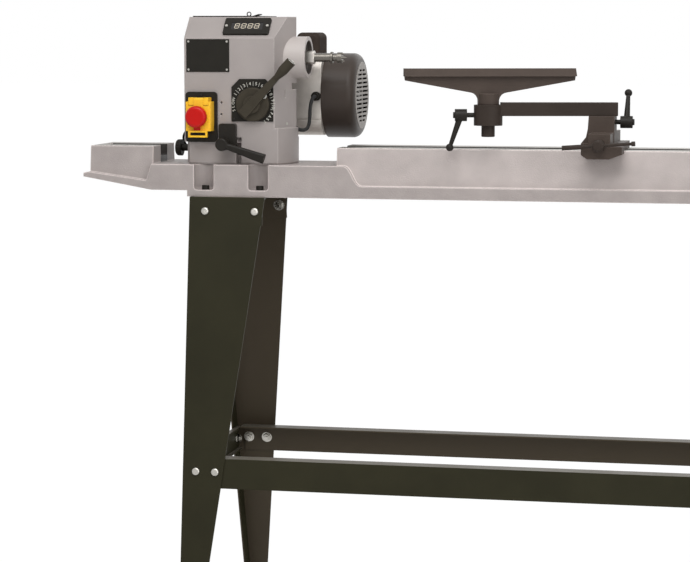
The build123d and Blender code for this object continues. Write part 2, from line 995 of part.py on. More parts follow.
# Swivel post: dropped through the head's foot and drawn down by the nut under the bed
with BuildPart() as pivot_post:
    rod((px(0), 0, wz(-gap_depth)), up, post_radius, gap_depth + foot_disc_top + free_gap)
    rod((px(0), 0, wz(foot_disc_top + free_gap)), up, post_cap_radius, post_cap)
    stud = block_plate + stud_nut_height + thread_end
    rod((px(0), 0, wz(-gap_depth)), down, stud_radius, stud)
    with BuildSketch(level(wz(groove_z - groove_half))) as groove:
        with Locations((px(0), 0)):
            Circle(post_radius + 1)
            Circle(post_radius - groove_depth, mode=Mode.SUBTRACT)
    extrude(amount=2 * groove_half, mode=Mode.SUBTRACT)
    for angle in index_angles:
        outwards = (cos(radians(angle)), sin(radians(angle)), 0)
        depth = post_radius - groove_depth - index_hole_depth
        bottom = Vector(px(0), 0, wz(groove_z)) + Vector(*outwards) * depth
        rod(bottom, outwards, plunger_nose + hole_gap, index_hole_depth + 1, Mode.SUBTRACT)

# Headstock casting: body with a sloped top and a slanted right front corner, on a round foot
slope_y = head_front + head_slope
corner_lean = (head_right - front_right) / (head_shoulder - head_front)


def foot_outline(inset=0.0):
    """Round foot, cut flat in front and at the left, in the sketch that is open."""
    with Locations((px(0), 0)):
        Circle(foot_disc_radius - inset)
    with Locations((px(0), head_front + inset)):
        front_cut = (Align.CENTER, Align.MAX)
        Rectangle(3 * foot_disc_radius, foot_disc_radius, align=front_cut, mode=Mode.SUBTRACT)
    with Locations((px(foot_disc_left + inset), 0)):
        left_cut = (Align.MAX, Align.CENTER)
        Rectangle(foot_disc_radius, 3 * foot_disc_radius, align=left_cut, mode=Mode.SUBTRACT)


def corner_x(y):
    """Place of the slanted corner face along the bed."""
    return front_right + corner_lean * (y - head_front)


corner_cut = (
    (px(corner_x(head_front - 1)), head_front - 1),
    (px(corner_x(head_shoulder + 1)), head_front - 1),
    (px(corner_x(head_shoulder + 1)), head_shoulder + 1),
)

with BuildPart() as headstock:
    plan = (
        (px(head_left), head_front),
        (px(head_right), head_front),
        (px(head_right), head_shoulder),
        (px(case_right), head_shoulder),
        (px(case_right), head_rear),
        (px(head_left), head_rear),
    )
    slab(level(wz(head_bottom)), plan, head_top - head_bottom)
    slope_cut = (
        (head_front - 1, wz(head_top - head_slope - 1)),
        (slope_y + 1, wz(head_top + 1)),
        (head_front - 1, wz(head_top + 1)),
    )
    slab(side(px(head_left - 1)), slope_cut, head_right - head_left + 2, mode=Mode.SUBTRACT)
    slab(level(wz(head_bottom - 1)), corner_cut, head_top - head_bottom + 2, mode=Mode.SUBTRACT)
    with BuildSketch(level(wz(-gap_depth))) as foot_seat:
        foot_outline(foot_reveal)
    extrude(foot_seat.sketch, amount=foot_reveal)
    with BuildSketch(level(wz(foot_reveal - gap_depth))) as foot_disc:
        foot_outline()
    extrude(foot_disc.sketch, amount=gap_depth + foot_rim_top - foot_reveal)
    block(
        (px(case_right), foot_rim_back, wz(foot_disc_top)),
        (px(foot_disc_radius + 1), foot_disc_radius + 1, wz(foot_rim_top + 1)),
        Mode.SUBTRACT,
    )
    hollow_left = head_left + side_wall
    hollow_right = case_right - side_wall
    slope_wall = wall / cos(radians(45))
    hollow = (
        (head_front + wall, wz(foot_disc_top)),
        (head_rear - wall, wz(foot_disc_top)),
        (head_rear - wall, wz(head_top - side_wall)),
        (slope_y + slope_wall - side_wall, wz(head_top - side_wall)),
        (head_front + wall, wz(head_top - head_slope + wall - slope_wall)),
    )
    slab(side(px(hollow_left)), hollow, hollow_right - hollow_left, mode=Mode.SUBTRACT)
    nose_back = head_shoulder - side_wall
    nose_hollow = (
        (head_front + wall, wz(foot_disc_top)),
        (nose_back, wz(foot_disc_top)),
        (nose_back, wz(head_top - side_wall)),
        (slope_y + slope_wall - side_wall, wz(head_top - side_wall)),
        (head_front + wall, wz(head_top - head_slope + wall - slope_wall)),
    )
    slab(side(px(hollow_right - 1)), nose_hollow, front_hollow - hollow_right + 1, mode=Mode.SUBTRACT)
    lid_x0, lid_x1, lid_y0, lid_y1 = lid_opening
    block(
        (px(lid_x0), lid_y0, wz(head_top - side_wall - 1)),
        (px(lid_x1), lid_y1, wz(head_top + 1)),
        Mode.SUBTRACT,
    )
    # Bosses for the spindle bearings, and their bores
    rod((px(hollow_right), 0, wz(centre_height)), right, boss_radius, boss_right - hollow_right)
    left_boss = bearing_left + bearing_width - hollow_left
    rod((px(hollow_left), 0, wz(centre_height)), right, boss_radius, left_boss)
    seat_radius = bearing_radius + running_fit
    spindle_hole = spindle_radius + 2
    rod((px(head_left - 1), 0, wz(centre_height)), right, spindle_hole, 2 * boss_right, Mode.SUBTRACT)
    right_seat = boss_right - bearing_right + 1
    rod((px(bearing_right), 0, wz(centre_height)), right, seat_radius, right_seat, Mode.SUBTRACT)
    rod((px(bearing_left), 0, wz(centre_height)), right, seat_radius, bearing_width + 1, Mode.SUBTRACT)
    recess = (px(boss_right - recess_depth), 0, wz(centre_height))
    rod(recess, right, recess_radius, recess_depth + 1, Mode.SUBTRACT)
    cap_room = (px(0), 0, wz(foot_disc_top))
    rod(cap_room, up, post_cap_radius + free_gap, post_cap + 2, Mode.SUBTRACT)
    # Openings for the motor's spigot, the speed shaft, the lock and the plunger
    spigot = (px(hollow_right - 1), motor_y, wz(motor_z))
    rod(spigot, right, spigot_radius + hole_gap, side_wall + 2, Mode.SUBTRACT)
    speed_hole = (px(dial_x), head_front + wall + 1, wz(dial_z))
    rod(speed_hole, to_turner, speed_shaft + slide_fit, wall + 2, Mode.SUBTRACT)
    post_hole = (px(0), 0, wz(-gap_depth - 1))
    rod(post_hole, up, post_radius + slide_fit, gap_depth + foot_disc_top + 2, Mode.SUBTRACT)
    lock_hole = (px(lock_x), 0, wz(lock_z))
    rod(lock_hole, to_turner, lock_stud + hole_gap, 1 - head_front, Mode.SUBTRACT)
    plunger_hole = (px(plunger_step), 0, wz(groove_z))
    rod(plunger_hole, left, plunger_radius + slide_fit, foot_disc_radius, Mode.SUBTRACT)
    rod((px(0), 0, wz(groove_z)), left, plunger_nose + slide_fit, foot_disc_radius, Mode.SUBTRACT)
    # Slot beside the lock block, open at the bottom
    block(
        (px(lock_slot[0]), head_front - 1, wz(-gap_depth - 1)),
        (px(lock_slot[1]), head_front + wall, wz(lock_slot_top)),
        Mode.SUBTRACT,
    )
    block(
        (px(lock_slot[0]), head_front, wz(-gap_depth - 1)),
        (px(lock_slot[1]), head_front + lock_slot_depth, wz(foot_disc_top - wall)),
        Mode.SUBTRACT,
    )
    # Two small holes beside the switch, a slit and a notch in the slanted corner
    for z in pilot_heights:
        rod((px(pilot_x), head_front, wz(z)), to_back, pilot_radius, pilot_depth, Mode.SUBTRACT)
    block(
        (px(corner_x(slit_y) - slit_depth), slit_y - slit_width / 2, wz(slit_low)),
        (px(head_right), slit_y + slit_width / 2, wz(slit_high)),
        Mode.SUBTRACT,
    )
    block(
        (px(head_right - notch_depth), notch_y, wz(notch_low)),
        (px(head_right), head_shoulder, wz(notch_high)),
        Mode.SUBTRACT,
    )
    # Groove for the lid's hinge, and the hole for its pin
    hinge_x = head_left + lid_barrel + free_gap
    hinge_z = head_top - lid_pin_drop
    hinge_room = lid_barrel + free_gap
    block(
        (px(head_left - 1), lid_front, wz(hinge_z - hinge_room)),
        (px(hinge_x + hinge_room), lid_back, wz(head_top + 1)),
        Mode.SUBTRACT,
    )
    pin_start = (px(hinge_x), lid_front - lid_pin_over - 1, wz(hinge_z))
    pin_room = lid_back - lid_front + 2 * lid_pin_over + 2
    rod(pin_start, to_back, lid_pin + slide_fit, pin_room, Mode.SUBTRACT)

# Belt lid: thin sheet hinged at the left, with a bent-up tab at the right and a small ring
lid_low = head_top + free_gap
with BuildPart() as belt_lid:
    lid_y0 = lid_front + free_gap
    lid_y1 = lid_back - free_gap
    bend_x = lid_right - lid_bend
    block((px(hinge_x - 2), lid_y0, wz(lid_low)), (px(bend_x), lid_y1, wz(lid_low + lid_sheet)))
    tab = (
        (px(bend_x), wz(lid_low)),
        (px(lid_right), wz(lid_low + lid_lift)),
        (px(lid_right), wz(lid_low + lid_lift + lid_sheet)),
        (px(bend_x), wz(lid_low + lid_sheet)),
    )
    slab(front(lid_y0), tab, -lid_tab)
    rod((px(hinge_x), lid_y0, wz(hinge_z)), to_back, lid_barrel, lid_y1 - lid_y0)
    block((px(hinge_x - 1), lid_y0, wz(hinge_z)), (px(hinge_x + 1), lid_y1, wz(lid_low + 0.5)))
    pin_end = (px(hinge_x), lid_front - lid_pin_over, wz(hinge_z))
    rod(pin_end, to_back, lid_pin, lid_back - lid_front + 2 * lid_pin_over)
    ring_z = lid_low + lid_sheet + lid_ring - lid_ring_wire / 2
    ring_place = (px(lid_ring_x), lid_front + lid_ring_y, wz(ring_z))
    with Locations(Plane(origin=ring_place, z_dir=to_turner)):
        Torus(lid_ring, lid_ring_wire)

# Ball bearings of the spindle and of the motor, each as one ring
with BuildPart() as ball_bearings:
    places = [(bearing_right, 0, centre_height), (bearing_left, 0, centre_height)]
    places += [(x, motor_y, motor_z) for x in motor_bearing]
    for x, y, z in places:
        rod((px(x), y, wz(z)), right, bearing_radius, bearing_width)
        rod((px(x - 1), y, wz(z)), right, spindle_radius + running_fit, bearing_width + 2, Mode.SUBTRACT)

# Spindle with a collar that has two spanner flats, and a bored nose
with BuildPart() as spindle:
    rod((px(spindle_left), 0, wz(centre_height)), right, spindle_radius, collar_left - spindle_left)
    with BuildSketch(Plane(origin=(px(collar_left), 0, wz(centre_height)), x_dir=up, z_dir=right)):
        Circle(collar_radius)
        Rectangle(2 * collar_radius, collar_flats, mode=Mode.INTERSECT)
    extrude(amount=collar_right - collar_left)
    rod((px(collar_right), 0, wz(centre_height)), right, nose_radius, spindle_nose - collar_right)
    rod((px(nose_ring), 0, wz(centre_height)), right, nose_ring_radius, spindle_nose - nose_ring)
    rod((px(spindle_nose + 1), 0, wz(centre_height)), left, socket_radius, socket_depth + 1, Mode.SUBTRACT)

# Spur centre: shank in the nose, four prongs and a point
with BuildPart() as spur_centre:
    rod((px(spindle_nose), 0, wz(centre_height)), left, socket_radius - running_fit, socket_depth - 1)
    rod((px(spindle_nose), 0, wz(centre_height)), right, spur_neck_radius, spur_neck)
    head_start = spindle_nose + spur_neck
    rod((px(head_start), 0, wz(centre_height)), right, spur_radius, spur_head)
    point_start = head_start + spur_head
    with Locations(Plane(origin=(px(point_start), 0, wz(centre_height)), z_dir=right)):
        Cone(spur_point_radius, spur_point_flat, spur_tip - point_start, align=on_base)
        with PolarLocations(spur_radius - prong_inset, prongs):
            Cone(prong_radius, prong_flat, prong, align=on_base)


def pulley(middle_y, middle_z, towards, bore, hub, groove=None):
    """Half of a variable pulley, turned about X; towards is 1 for the right half, -1 for the left."""
    face_z = pulley_gap + (pulley_radius - pulley_core) * pulley_slope
    half = [
        (bore, pulley_gap),
        (pulley_core, pulley_gap),
        (pulley_radius, face_z),
        (pulley_radius, face_z + pulley_rim),
        (pulley_hub_radius, pulley_gap + pulley_web),
        (pulley_hub_radius, hub),
        (bore, hub),
    ]
    if groove:
        ring = [(pulley_hub_radius, groove[0]), (fork_groove_radius, groove[0])]
        ring += [(fork_groove_radius, groove[1]), (pulley_hub_radius, groove[1])]
        half[5:5] = ring
    origin = (px(belt_x), middle_y, wz(middle_z))
    with BuildPart() as turned:
        with BuildSketch(Plane(origin=origin, x_dir=up, z_dir=(0, towards, 0))):
            Polygon(*half)
        revolve(axis=Axis(origin, right))
    return turned


spindle_pulley = pulley(0, centre_height, -1, spindle_radius + running_fit, pulley_hub)
spindle_sliding_pulley = pulley(0, centre_height, 1, spindle_radius + running_fit, sliding_hub, fork_groove)
motor_pulley = pulley(motor_y, motor_z, 1, spindle_radius + running_fit, pulley_hub)
motor_sliding_pulley = pulley(motor_y, motor_z, -1, spindle_radius + running_fit, sliding_hub)

# Drive belt: a loop round both pulleys
with BuildPart() as drive_belt:
    for radius, mode in ((belt_inner + belt_thickness, Mode.ADD), (belt_inner, Mode.SUBTRACT)):
        with BuildSketch(side(px(belt_x - belt_half))) as loop:
            with Locations((0, wz(centre_height)), (motor_y, wz(motor_z))):
                Circle(radius)
            make_hull(loop.edges())
        extrude(amount=2 * belt_half, mode=mode)

# Motor body: aluminium case outside, round core and end wall under the fan cover
motor_axis = (px(case_right), motor_y, wz(motor_z))
with BuildPart() as motor_body:
    with BuildSketch(side(px(case_right))) as case:
        with Locations((motor_y, wz((motor_low + motor_high) / 2))):
            RectangleRounded(2 * motor_half, motor_high - motor_low, motor_corner)
    extrude(amount=motor_split - case_right)
    rod(motor_axis, right, motor_core_radius, motor_end - case_right)
    seat_ring = (px(motor_split), motor_y, wz(motor_z))
    rod(seat_ring, right, cover_radius - cover_wall - running_fit, cover_seat)
    rod(motor_axis, left, spigot_radius, side_wall)
    for z in groove_rows:
        groove_low = (px(case_right + 1), motor_y - motor_half - 1, wz(z))
        groove_high = (px(motor_split + 1), motor_y - motor_half + groove_cut, wz(z + groove_cut))
        block(groove_low, groove_high, Mode.SUBTRACT)
    shaft_hole = (px(case_right - side_wall - 1), motor_y, wz(motor_z))
    rod(shaft_hole, right, spindle_radius + 2, motor_end, Mode.SUBTRACT)
    for x in motor_bearing:
        rod((px(x), motor_y, wz(motor_z)), right, seat_radius, bearing_width, Mode.SUBTRACT)
    stator_left = motor_bearing[0] + bearing_width
    stator = (px(stator_left), motor_y, wz(motor_z))
    rod(stator, right, stator_bore, motor_bearing[1] - stator_left, Mode.SUBTRACT)

# Rotor, its shaft and the cooling fan
with BuildPart() as motor_rotor:
    shaft = (px(motor_shaft_left), motor_y, wz(motor_z))
    rod(shaft, right, spindle_radius, fan_left + fan_width - motor_shaft_left)
    core = (px(stator_left + 3), motor_y, wz(motor_z))
    rod(core, right, rotor_radius, motor_bearing[1] - stator_left - 6)
    fan_middle = (px(fan_left), motor_y, wz(motor_z))
    rod(fan_middle, right, fan_radius, fan_disc)
    blade_length = fan_radius - blade_end_gap - blade_start
    with Locations(Plane(origin=fan_middle, z_dir=right)):
        with PolarLocations(blade_start + blade_length / 2, fan_blades):
            Box(blade_length, fan_blade, fan_width, align=on_base)

# Fan cover: drawn cup with a slotted end
cup = (px(motor_split), motor_y, wz(motor_z))
with BuildPart() as cup_hollow:
    rod(cup, right, cover_radius - cover_wall, cover_end - cover_disc - cover_wall - motor_split)
    fillet(cup_hollow.edges().group_by(Axis.X)[-1], cover_round - cover_wall)

with BuildPart() as fan_cover:
    rod(cup, right, cover_radius, cover_end - cover_disc - motor_split)
    fillet(fan_cover.edges().group_by(Axis.X)[-1], cover_round)
    rod((px(cover_end - cover_disc), motor_y, wz(motor_z)), right, cover_disc_radius, cover_disc)
    add(cup_hollow.part, mode=Mode.SUBTRACT)
    for row in range(vent_rows):
        height = (row - (vent_rows - 1) / 2) * vent_pitch
        reach = (vent_radius**2 - height**2) ** 0.5
        for sign in (-1, 1):
            ends_y = sorted((motor_y + sign * vent_bar, motor_y + sign * reach))
            vent_z = wz(motor_z + height - vent_height / 2)
            block(
                (px(cover_end - vent_depth), ends_y[0], vent_z),
                (px(cover_end + 1), ends_y[1], vent_z + vent_height),
                Mode.SUBTRACT,
            )

# Capacitor box on top of the motor
with BuildPart() as capacitor_box:
    block(
        (px(capacitor_left), motor_y - capacitor_half, wz(motor_high)),
        (px(capacitor_right), motor_y + capacitor_half, wz(capacitor_top)),
    )
    fillet(capacitor_box.edges().group_by(Axis.Z)[-1], capacitor_round)
    fillet(capacitor_box.edges().filter_by(Axis.Z), capacitor_corner)
    cover_room = (px(motor_split - free_gap), motor_y, wz(motor_z))
    rod(cover_room, right, cover_radius + free_gap, cover_end - motor_split, Mode.SUBTRACT)

# Cable gland and the motor's lead, which ends at the head's side
gland_face = motor_y - motor_half
with BuildPart() as cable_gland:
    rod((px(gland_x), gland_face, wz(gland_z)), to_turner, gland_radius, gland_nut)
    rod((px(gland_x), gland_face, wz(gland_z)), to_turner, gland_neck_radius, gland_length)

lead_start = Vector(px(gland_x), gland_face - gland_length, wz(gland_z))
lead_points = [
    lead_start,
    *[lead_start + Vector(*bend) for bend in lead_bends],
    Vector(px(gland_x - lead_across), head_shoulder + lead_last, wz(gland_z - lead_fall)),
    Vector(px(gland_x - lead_across), head_shoulder, wz(gland_z - lead_fall)),
]


def bend_radii(points):
    """Largest radius at each corner of a route: 0.45 of the shorter run over the half turn's tangent."""
    radii = []
    for before, corner, after in zip(points, points[1:], points[2:]):
        turn = (corner - before).get_angle(after - corner)
        shorter = min((corner - before).length, (after - corner).length)
        radii.append(0.45 * shorter / tan(radians(turn / 2)))
    return radii


lead_radii = bend_radii(lead_points)
with BuildPart() as motor_lead:
    with BuildLine() as lead_route:
        FilletPolyline(*lead_points, radius=lead_radii)
    first_run = (lead_points[1] - lead_points[0]).normalized()
    with BuildSketch(Plane(origin=lead_start, z_dir=first_run)):
        Circle(lead_radius)
    sweep()
print("motor lead radii", [round(r, 1) for r in lead_radii])
lead_length = sum(edge.length for edge in lead_route.edges())
print("motor lead volume", motor_lead.part.volume, "section times length", pi * lead_radius**2 * lead_length)

# Speed dial plate and its lever
with BuildPart() as dial_plate:
    dial_outline = (
        (px(dial_left), wz(dial_low)),
        (px(dial_right), wz(dial_low)),
        (px(dial_right), wz(dial_high - dial_corner)),
        (px(dial_right - dial_corner), wz(dial_high)),
        (px(dial_left + dial_corner), wz(dial_high)),
        (px(dial_left), wz(dial_high - dial_corner)),
    )
    slab(front(head_front), dial_outline, dial_thickness)
    shaft_room = (px(dial_x), head_front + 1, wz(dial_z))
    rod(shaft_room, to_turner, speed_shaft + slide_fit, dial_thickness + 2, Mode.SUBTRACT)

disc_y = head_front - dial_thickness - free_gap
lever_turn = radians(speed_lever_angle)
lever_way = (cos(lever_turn), 0, sin(lever_turn))
with BuildPart() as speed_lever:
    rod((px(dial_x), disc_y, wz(dial_z)), to_turner, speed_disc_radius, speed_disc)
    fillet(speed_lever.edges().group_by(Axis.Y)[0], speed_disc_round)
    rod((px(dial_x), disc_y - speed_disc, wz(dial_z)), to_turner, speed_boss_radius, speed_boss)
    rod((px(dial_x), disc_y, wz(dial_z)), to_back, speed_shaft, speed_shaft_end - disc_y)
    arm_origin = (px(dial_x), disc_y - speed_disc + 1, wz(dial_z))
    # The arm tapers to a neck and has a short tail across the hub
    arm = (
        (-speed_arm_tail, -speed_arm_root / 2),
        (0, -speed_arm_root / 2),
        (speed_arm, -speed_arm_width / 2),
        (speed_arm, speed_arm_width / 2),
        (0, speed_arm_root / 2),
        (-speed_arm_tail, speed_arm_root / 2),
    )
    slab(Plane(origin=arm_origin, x_dir=lever_way, z_dir=to_turner), arm, speed_arm_depth)
    # The grip swells from the neck and ends flat
    grip_axis = Vector(*arm_origin) + Vector(*to_turner) * speed_grip_set
    grip_start = grip_axis + Vector(*lever_way) * speed_grip_start
    with Locations(Plane(origin=grip_start, z_dir=lever_way)):
        Cone(speed_grip_neck, speed_grip_radius, speed_grip_swell, align=on_base)
    grip_full = grip_start + Vector(*lever_way) * speed_grip_swell
    rod(grip_full, lever_way, speed_grip_radius, speed_grip_end - speed_grip_start - speed_grip_swell)
    grip_tip = grip_axis + Vector(*lever_way) * speed_grip_end
    rounds = speed_lever.edges().filter_by(GeomType.CIRCLE)
    fillet(rounds.sort_by_distance(grip_tip)[0], speed_grip_round)

# Shift fork: a rack over the lever's shaft and a fork in the sliding pulley's groove
fork_x = belt_x + sum(fork_groove) / 2
fork_half = (fork_groove[1] - fork_groove[0]) / 2 - free_gap
with BuildPart() as shift_fork:
    rack_low = dial_z + speed_shaft + free_gap
    block(
        (px(dial_x - rack_half), rack_y[0], wz(rack_low)),
        (px(dial_x + rack_half / 2), rack_y[1], wz(rack_low + rack_height)),
    )
    block(
        (px(fork_x - fork_half), rack_y[0], wz(rack_low)),
        (px(fork_x + fork_half), rack_y[1], wz(centre_height)),
    )
    rod((px(fork_x - fork_half), 0, wz(centre_height)), right, fork_height, 2 * fork_half)
    block(
        (px(fork_x - fork_half), rack_y[0], wz(centre_height - fork_web_half)),
        (px(fork_x + fork_half), 0, wz(centre_height + fork_web_half)),
    )
    fork_bore = fork_groove_radius + free_gap
    bore_start = (px(fork_x - fork_half - 1), 0, wz(centre_height))
    rod(bore_start, right, fork_bore, 2 * fork_half + 2, Mode.SUBTRACT)
    block(
        (px(fork_x - fork_half - 1), 0, wz(centre_height - fork_height - 1)),
        (px(fork_x + fork_half + 1), fork_height + 1, wz(centre_height + fork_height + 1)),
        Mode.SUBTRACT,
    )

# Speed display on the slope, its window and screws, and the data plate
slope_middle = (px(display_x), head_front + head_slope / 2, wz(head_top - head_slope / 2))
slope_plane = Plane(origin=slope_middle, x_dir=right, z_dir=(0, -1, 1))
with BuildPart() as display_bezel:
    with BuildSketch(slope_plane):
        RectangleRounded(display_length, display_width, 3)
    extrude(amount=display_thickness)
    with BuildSketch(slope_plane.offset(display_thickness)):
        Rectangle(window_length, window_width)
    extrude(amount=-window_depth, mode=Mode.SUBTRACT)

with BuildPart() as display_window:
    with BuildSketch(slope_plane.offset(display_thickness - window_depth)):
        Rectangle(window_length - 2 * slide_fit, window_width - 2 * slide_fit)
    extrude(amount=window_glass)

with BuildPart() as nameplate:
    name_outline = (
        (px(name_left), wz(name_low)),
        (px(name_right), wz(name_low)),
        (px(name_right), wz(name_high)),
        (px(name_left), wz(name_high)),
    )
    slab(front(head_front), name_outline, name_thickness)

with BuildPart() as panel_screws:
    with Locations(slope_plane.offset(display_thickness)):
        with GridLocations(display_length - 2 * screw_inset, 0, 2, 1):
            Cylinder(screw_radius, screw_head, align=on_base)
    for x in (name_left + rivet_inset, name_right - rivet_inset):
        for z in (name_low + rivet_inset, name_high - rivet_inset):
            rod((px(x), head_front - name_thickness, wz(z)), to_turner, rivet_radius, screw_head)
    for x in (dial_left + rivet_inset, dial_right - rivet_inset):
        place = (px(x), head_front - dial_thickness, wz(dial_low + rivet_inset))
        rod(place, to_turner, rivet_radius, screw_head)
    plate_screw = (px(button_x), head_front - switch_plate_thickness, wz(plate_screw_z))
    rod(plate_screw, to_turner, rivet_radius, screw_head)
    side_screw = (px(corner_x(side_screw_y)), side_screw_y, wz(side_screw_z))
    rod(side_screw, (1, -corner_lean, 0), screw_radius, screw_head)

# Switch: plate, box with two buttons, and the flap with its mushroom
plate_face = head_front - switch_plate_thickness
box_face = plate_face - switch_depth
with BuildPart() as switch_plate:
    with BuildSketch(front(head_front)):
        plate_middle_x = px((switch_plate_left + switch_plate_right) / 2)
        plate_middle_z = wz((switch_plate_low + switch_plate_high) / 2)
        with Locations((plate_middle_x, plate_middle_z)):
            RectangleRounded(
                switch_plate_right - switch_plate_left,
                switch_plate_high - switch_plate_low,
                switch_corner,
            )
    extrude(amount=switch_plate_thickness)

flap_pin_y = box_face - flap_gap - flap_thickness / 2
ear_left = switch_left + ear_inset
ear_right = switch_right - ear_inset
ear_low = switch_high - ear_drop
with BuildPart() as switch_box:
    block((px(switch_left), box_face, wz(switch_low)), (px(switch_right), plate_face, wz(switch_high)))
    for x in (ear_left, ear_right - ear_width):
        block(
            (px(x), flap_pin_y - flap_barrel_radius, wz(ear_low)),
            (px(x + ear_width), plate_face, wz(flap_pin_z + flap_barrel_radius)),
        )
    pin_hole = (px(switch_left - 1), flap_pin_y, wz(flap_pin_z))
    rod(pin_hole, right, flap_pin_radius + slide_fit, switch_right - switch_left + 2, Mode.SUBTRACT)
    for z in (start_z, stop_z):
        well = (px(button_x), box_face - 1, wz(z))
        rod(well, to_back, button_radius + free_gap, button_length + 1, Mode.SUBTRACT)
        stem = (px(button_x), box_face, wz(z))
        rod(stem, to_back, button_stem + slide_fit, switch_depth, Mode.SUBTRACT)

button_back = box_face + button_length - button_travel


def push_button(z):
    """Round button with a stem that runs in the box's back."""
    with BuildPart() as button:
        face = (px(button_x), box_face - button_proud + free_gap, wz(z))
        rod(face, to_back, button_radius, button_back - face[1])
        stem_start = (px(button_x), button_back, wz(z))
        rod(stem_start, to_back, button_stem, plate_face - button_back - button_travel)
    return button


start_button = push_button(start_z)
stop_button = push_button(stop_z)

flap_back = box_face - button_proud - flap_gap
flap_face = flap_back - flap_thickness
ear_inner = (ear_left + ear_width + free_gap, ear_right - ear_width - free_gap)
with BuildPart() as stop_flap:
    block(
        (px(switch_left), flap_face, wz(switch_low)),
        (px(switch_right), flap_back, wz(ear_low - 1)),
    )
    # The top is notched round the ears, with the hinge barrel between them
    tabs = (
        (switch_left, ear_left - free_gap, switch_high),
        (*ear_inner, flap_pin_z),
        (ear_right + free_gap, switch_right, switch_high),
    )
    for tab_left, tab_right, tab_top in tabs:
        block((px(tab_left), flap_face, wz(ear_low - 2)), (px(tab_right), flap_back, wz(tab_top)))
    barrel_start = (px(ear_inner[0]), flap_pin_y, wz(flap_pin_z))
    rod(barrel_start, right, flap_barrel_radius, ear_inner[1] - ear_inner[0])
    rod((px(ear_left), flap_pin_y, wz(flap_pin_z)), right, flap_pin_radius, ear_right - ear_left)
    # Latch: a loop under the flap
    block(
        (px(latch_left), flap_face - latch_proud, wz(latch_low)),
        (px(latch_right), flap_face + 1, wz(switch_low + 1)),
    )
    block(
        (px(latch_left + latch_rim), flap_face - latch_proud - 1, wz(latch_low + latch_rim)),
        (px(latch_right - latch_rim), flap_face + 2, wz(switch_low + 1 - latch_rim)),
        Mode.SUBTRACT,
    )

with BuildPart() as stop_mushroom:
    rod((px(mushroom_x), flap_face, wz(mushroom_z)), to_turner, mushroom_neck, mushroom_stem)
    cap = (px(mushroom_x), flap_face - mushroom_stem, wz(mushroom_z))
    rod(cap, to_turner, mushroom_radius, mushroom_height)
    fillet(stop_mushroom.edges().group_by(Axis.Y)[0], mushroom_round)
    block(
        (px(mushroom_x - mushroom_tab_half), flap_face - mushroom_tab, wz(mushroom_tab_low)),
        (px(mushroom_x + mushroom_tab_half), flap_face, wz(mushroom_z)),
    )

# Head lock: block on the head's front, stud towards the post, hub and lever
lock_face = head_front - lock_block_depth
with BuildPart() as lock_block:
    block(
        (px(lock_block_left), lock_face, wz(lock_block_low)),
        (px(lock_block_right), head_front, wz(lock_block_high)),
    )
    fillet(lock_block.edges().filter_by(Axis.Y), lock_block_round)
    stud_hole = (px(lock_x), head_front + 1, wz(lock_z))
    rod(stud_hole, to_turner, lock_stud + hole_gap, lock_block_depth + 2, Mode.SUBTRACT)

lock_turn = radians(lock_lever_angle)
lock_way = (cos(lock_turn), 0, sin(lock_turn))
stud_tip = -((post_radius**2 - lock_x**2) ** 0.5) - free_gap
with BuildPart() as lock_lever_part:
    stud_start = stud_tip - stud_clear
    rod((px(lock_x), stud_start, wz(lock_z)), to_turner, lock_stud, stud_start - lock_face + lock_hub / 2)
    rod((px(lock_x), lock_face - free_gap, wz(lock_z)), to_turner, lock_hub_radius, lock_hub)
    fillet(lock_lever_part.edges().group_by(Axis.Y)[0], lock_hub_round)
    lever_root = (px(lock_x), lock_face - free_gap - lock_lever_set, wz(lock_z))
    root = Plane(origin=lever_root, x_dir=to_turner, z_dir=lock_way)
    with BuildSketch(root):
        RectangleRounded(*lock_lever_root, lock_lever_corner)
    with BuildSketch(root.offset(lock_lever)):
        RectangleRounded(*lock_lever_tip, lock_lever_corner)
    loft()

# Index plunger: fluted knob, shaft and nose
with BuildPart() as index_plunger:
    rod((px(knob_right), 0, wz(groove_z)), left, knob_radius, knob_right - knob_left)
    fillet(index_plunger.edges().group_by(Axis.X)[0], knob_round)
    with Locations(Plane(origin=(px(knob_left - 1), 0, wz(groove_z)), z_dir=right)):
        with PolarLocations(knob_radius + flute_set, knob_flutes):
            flute = knob_right - knob_left - flute_end
            Cylinder(flute_radius, flute, align=on_base, mode=Mode.SUBTRACT)
    rod((px(knob_right), 0, wz(groove_z)), right, plunger_radius, plunger_step - knob_right - plunger_room)
    rod((px(knob_right), 0, wz(groove_z)), right, plunger_nose, plunger_tip - knob_right)


def cam_shaft(x, y_front):
    """Cam shaft across a foot: full round at both ends, with an eccentric pin under the eye bolt."""
    rod((px(x), y_front, wz(cam_z)), to_back, cam_radius, -cam_waist - y_front)
    rod((px(x), -cam_waist - 1, wz(cam_z + cam_throw)), to_back, cam_pin, 2 * cam_waist + 2)
    rod((px(x), cam_waist, wz(cam_z)), to_back, cam_radius, cam_back - cam_waist)


def cam_room(x, y_front):
    """Bore for the cam shaft and pocket for the eye, cut from the foot that is open."""
    bore_length = cam_back + 1 - y_front + 1
    rod((px(x), y_front - 1, wz(cam_z)), to_back, cam_radius + slide_fit, bore_length, Mode.SUBTRACT)
    block(
        (px(x - eye_pocket), -cam_waist - 1, wz(-eye_pocket_low)),
        (px(x + eye_pocket), cam_waist + 1, wz(cam_z + eye_radius + cam_throw + 1)),
        Mode.SUBTRACT,
    )


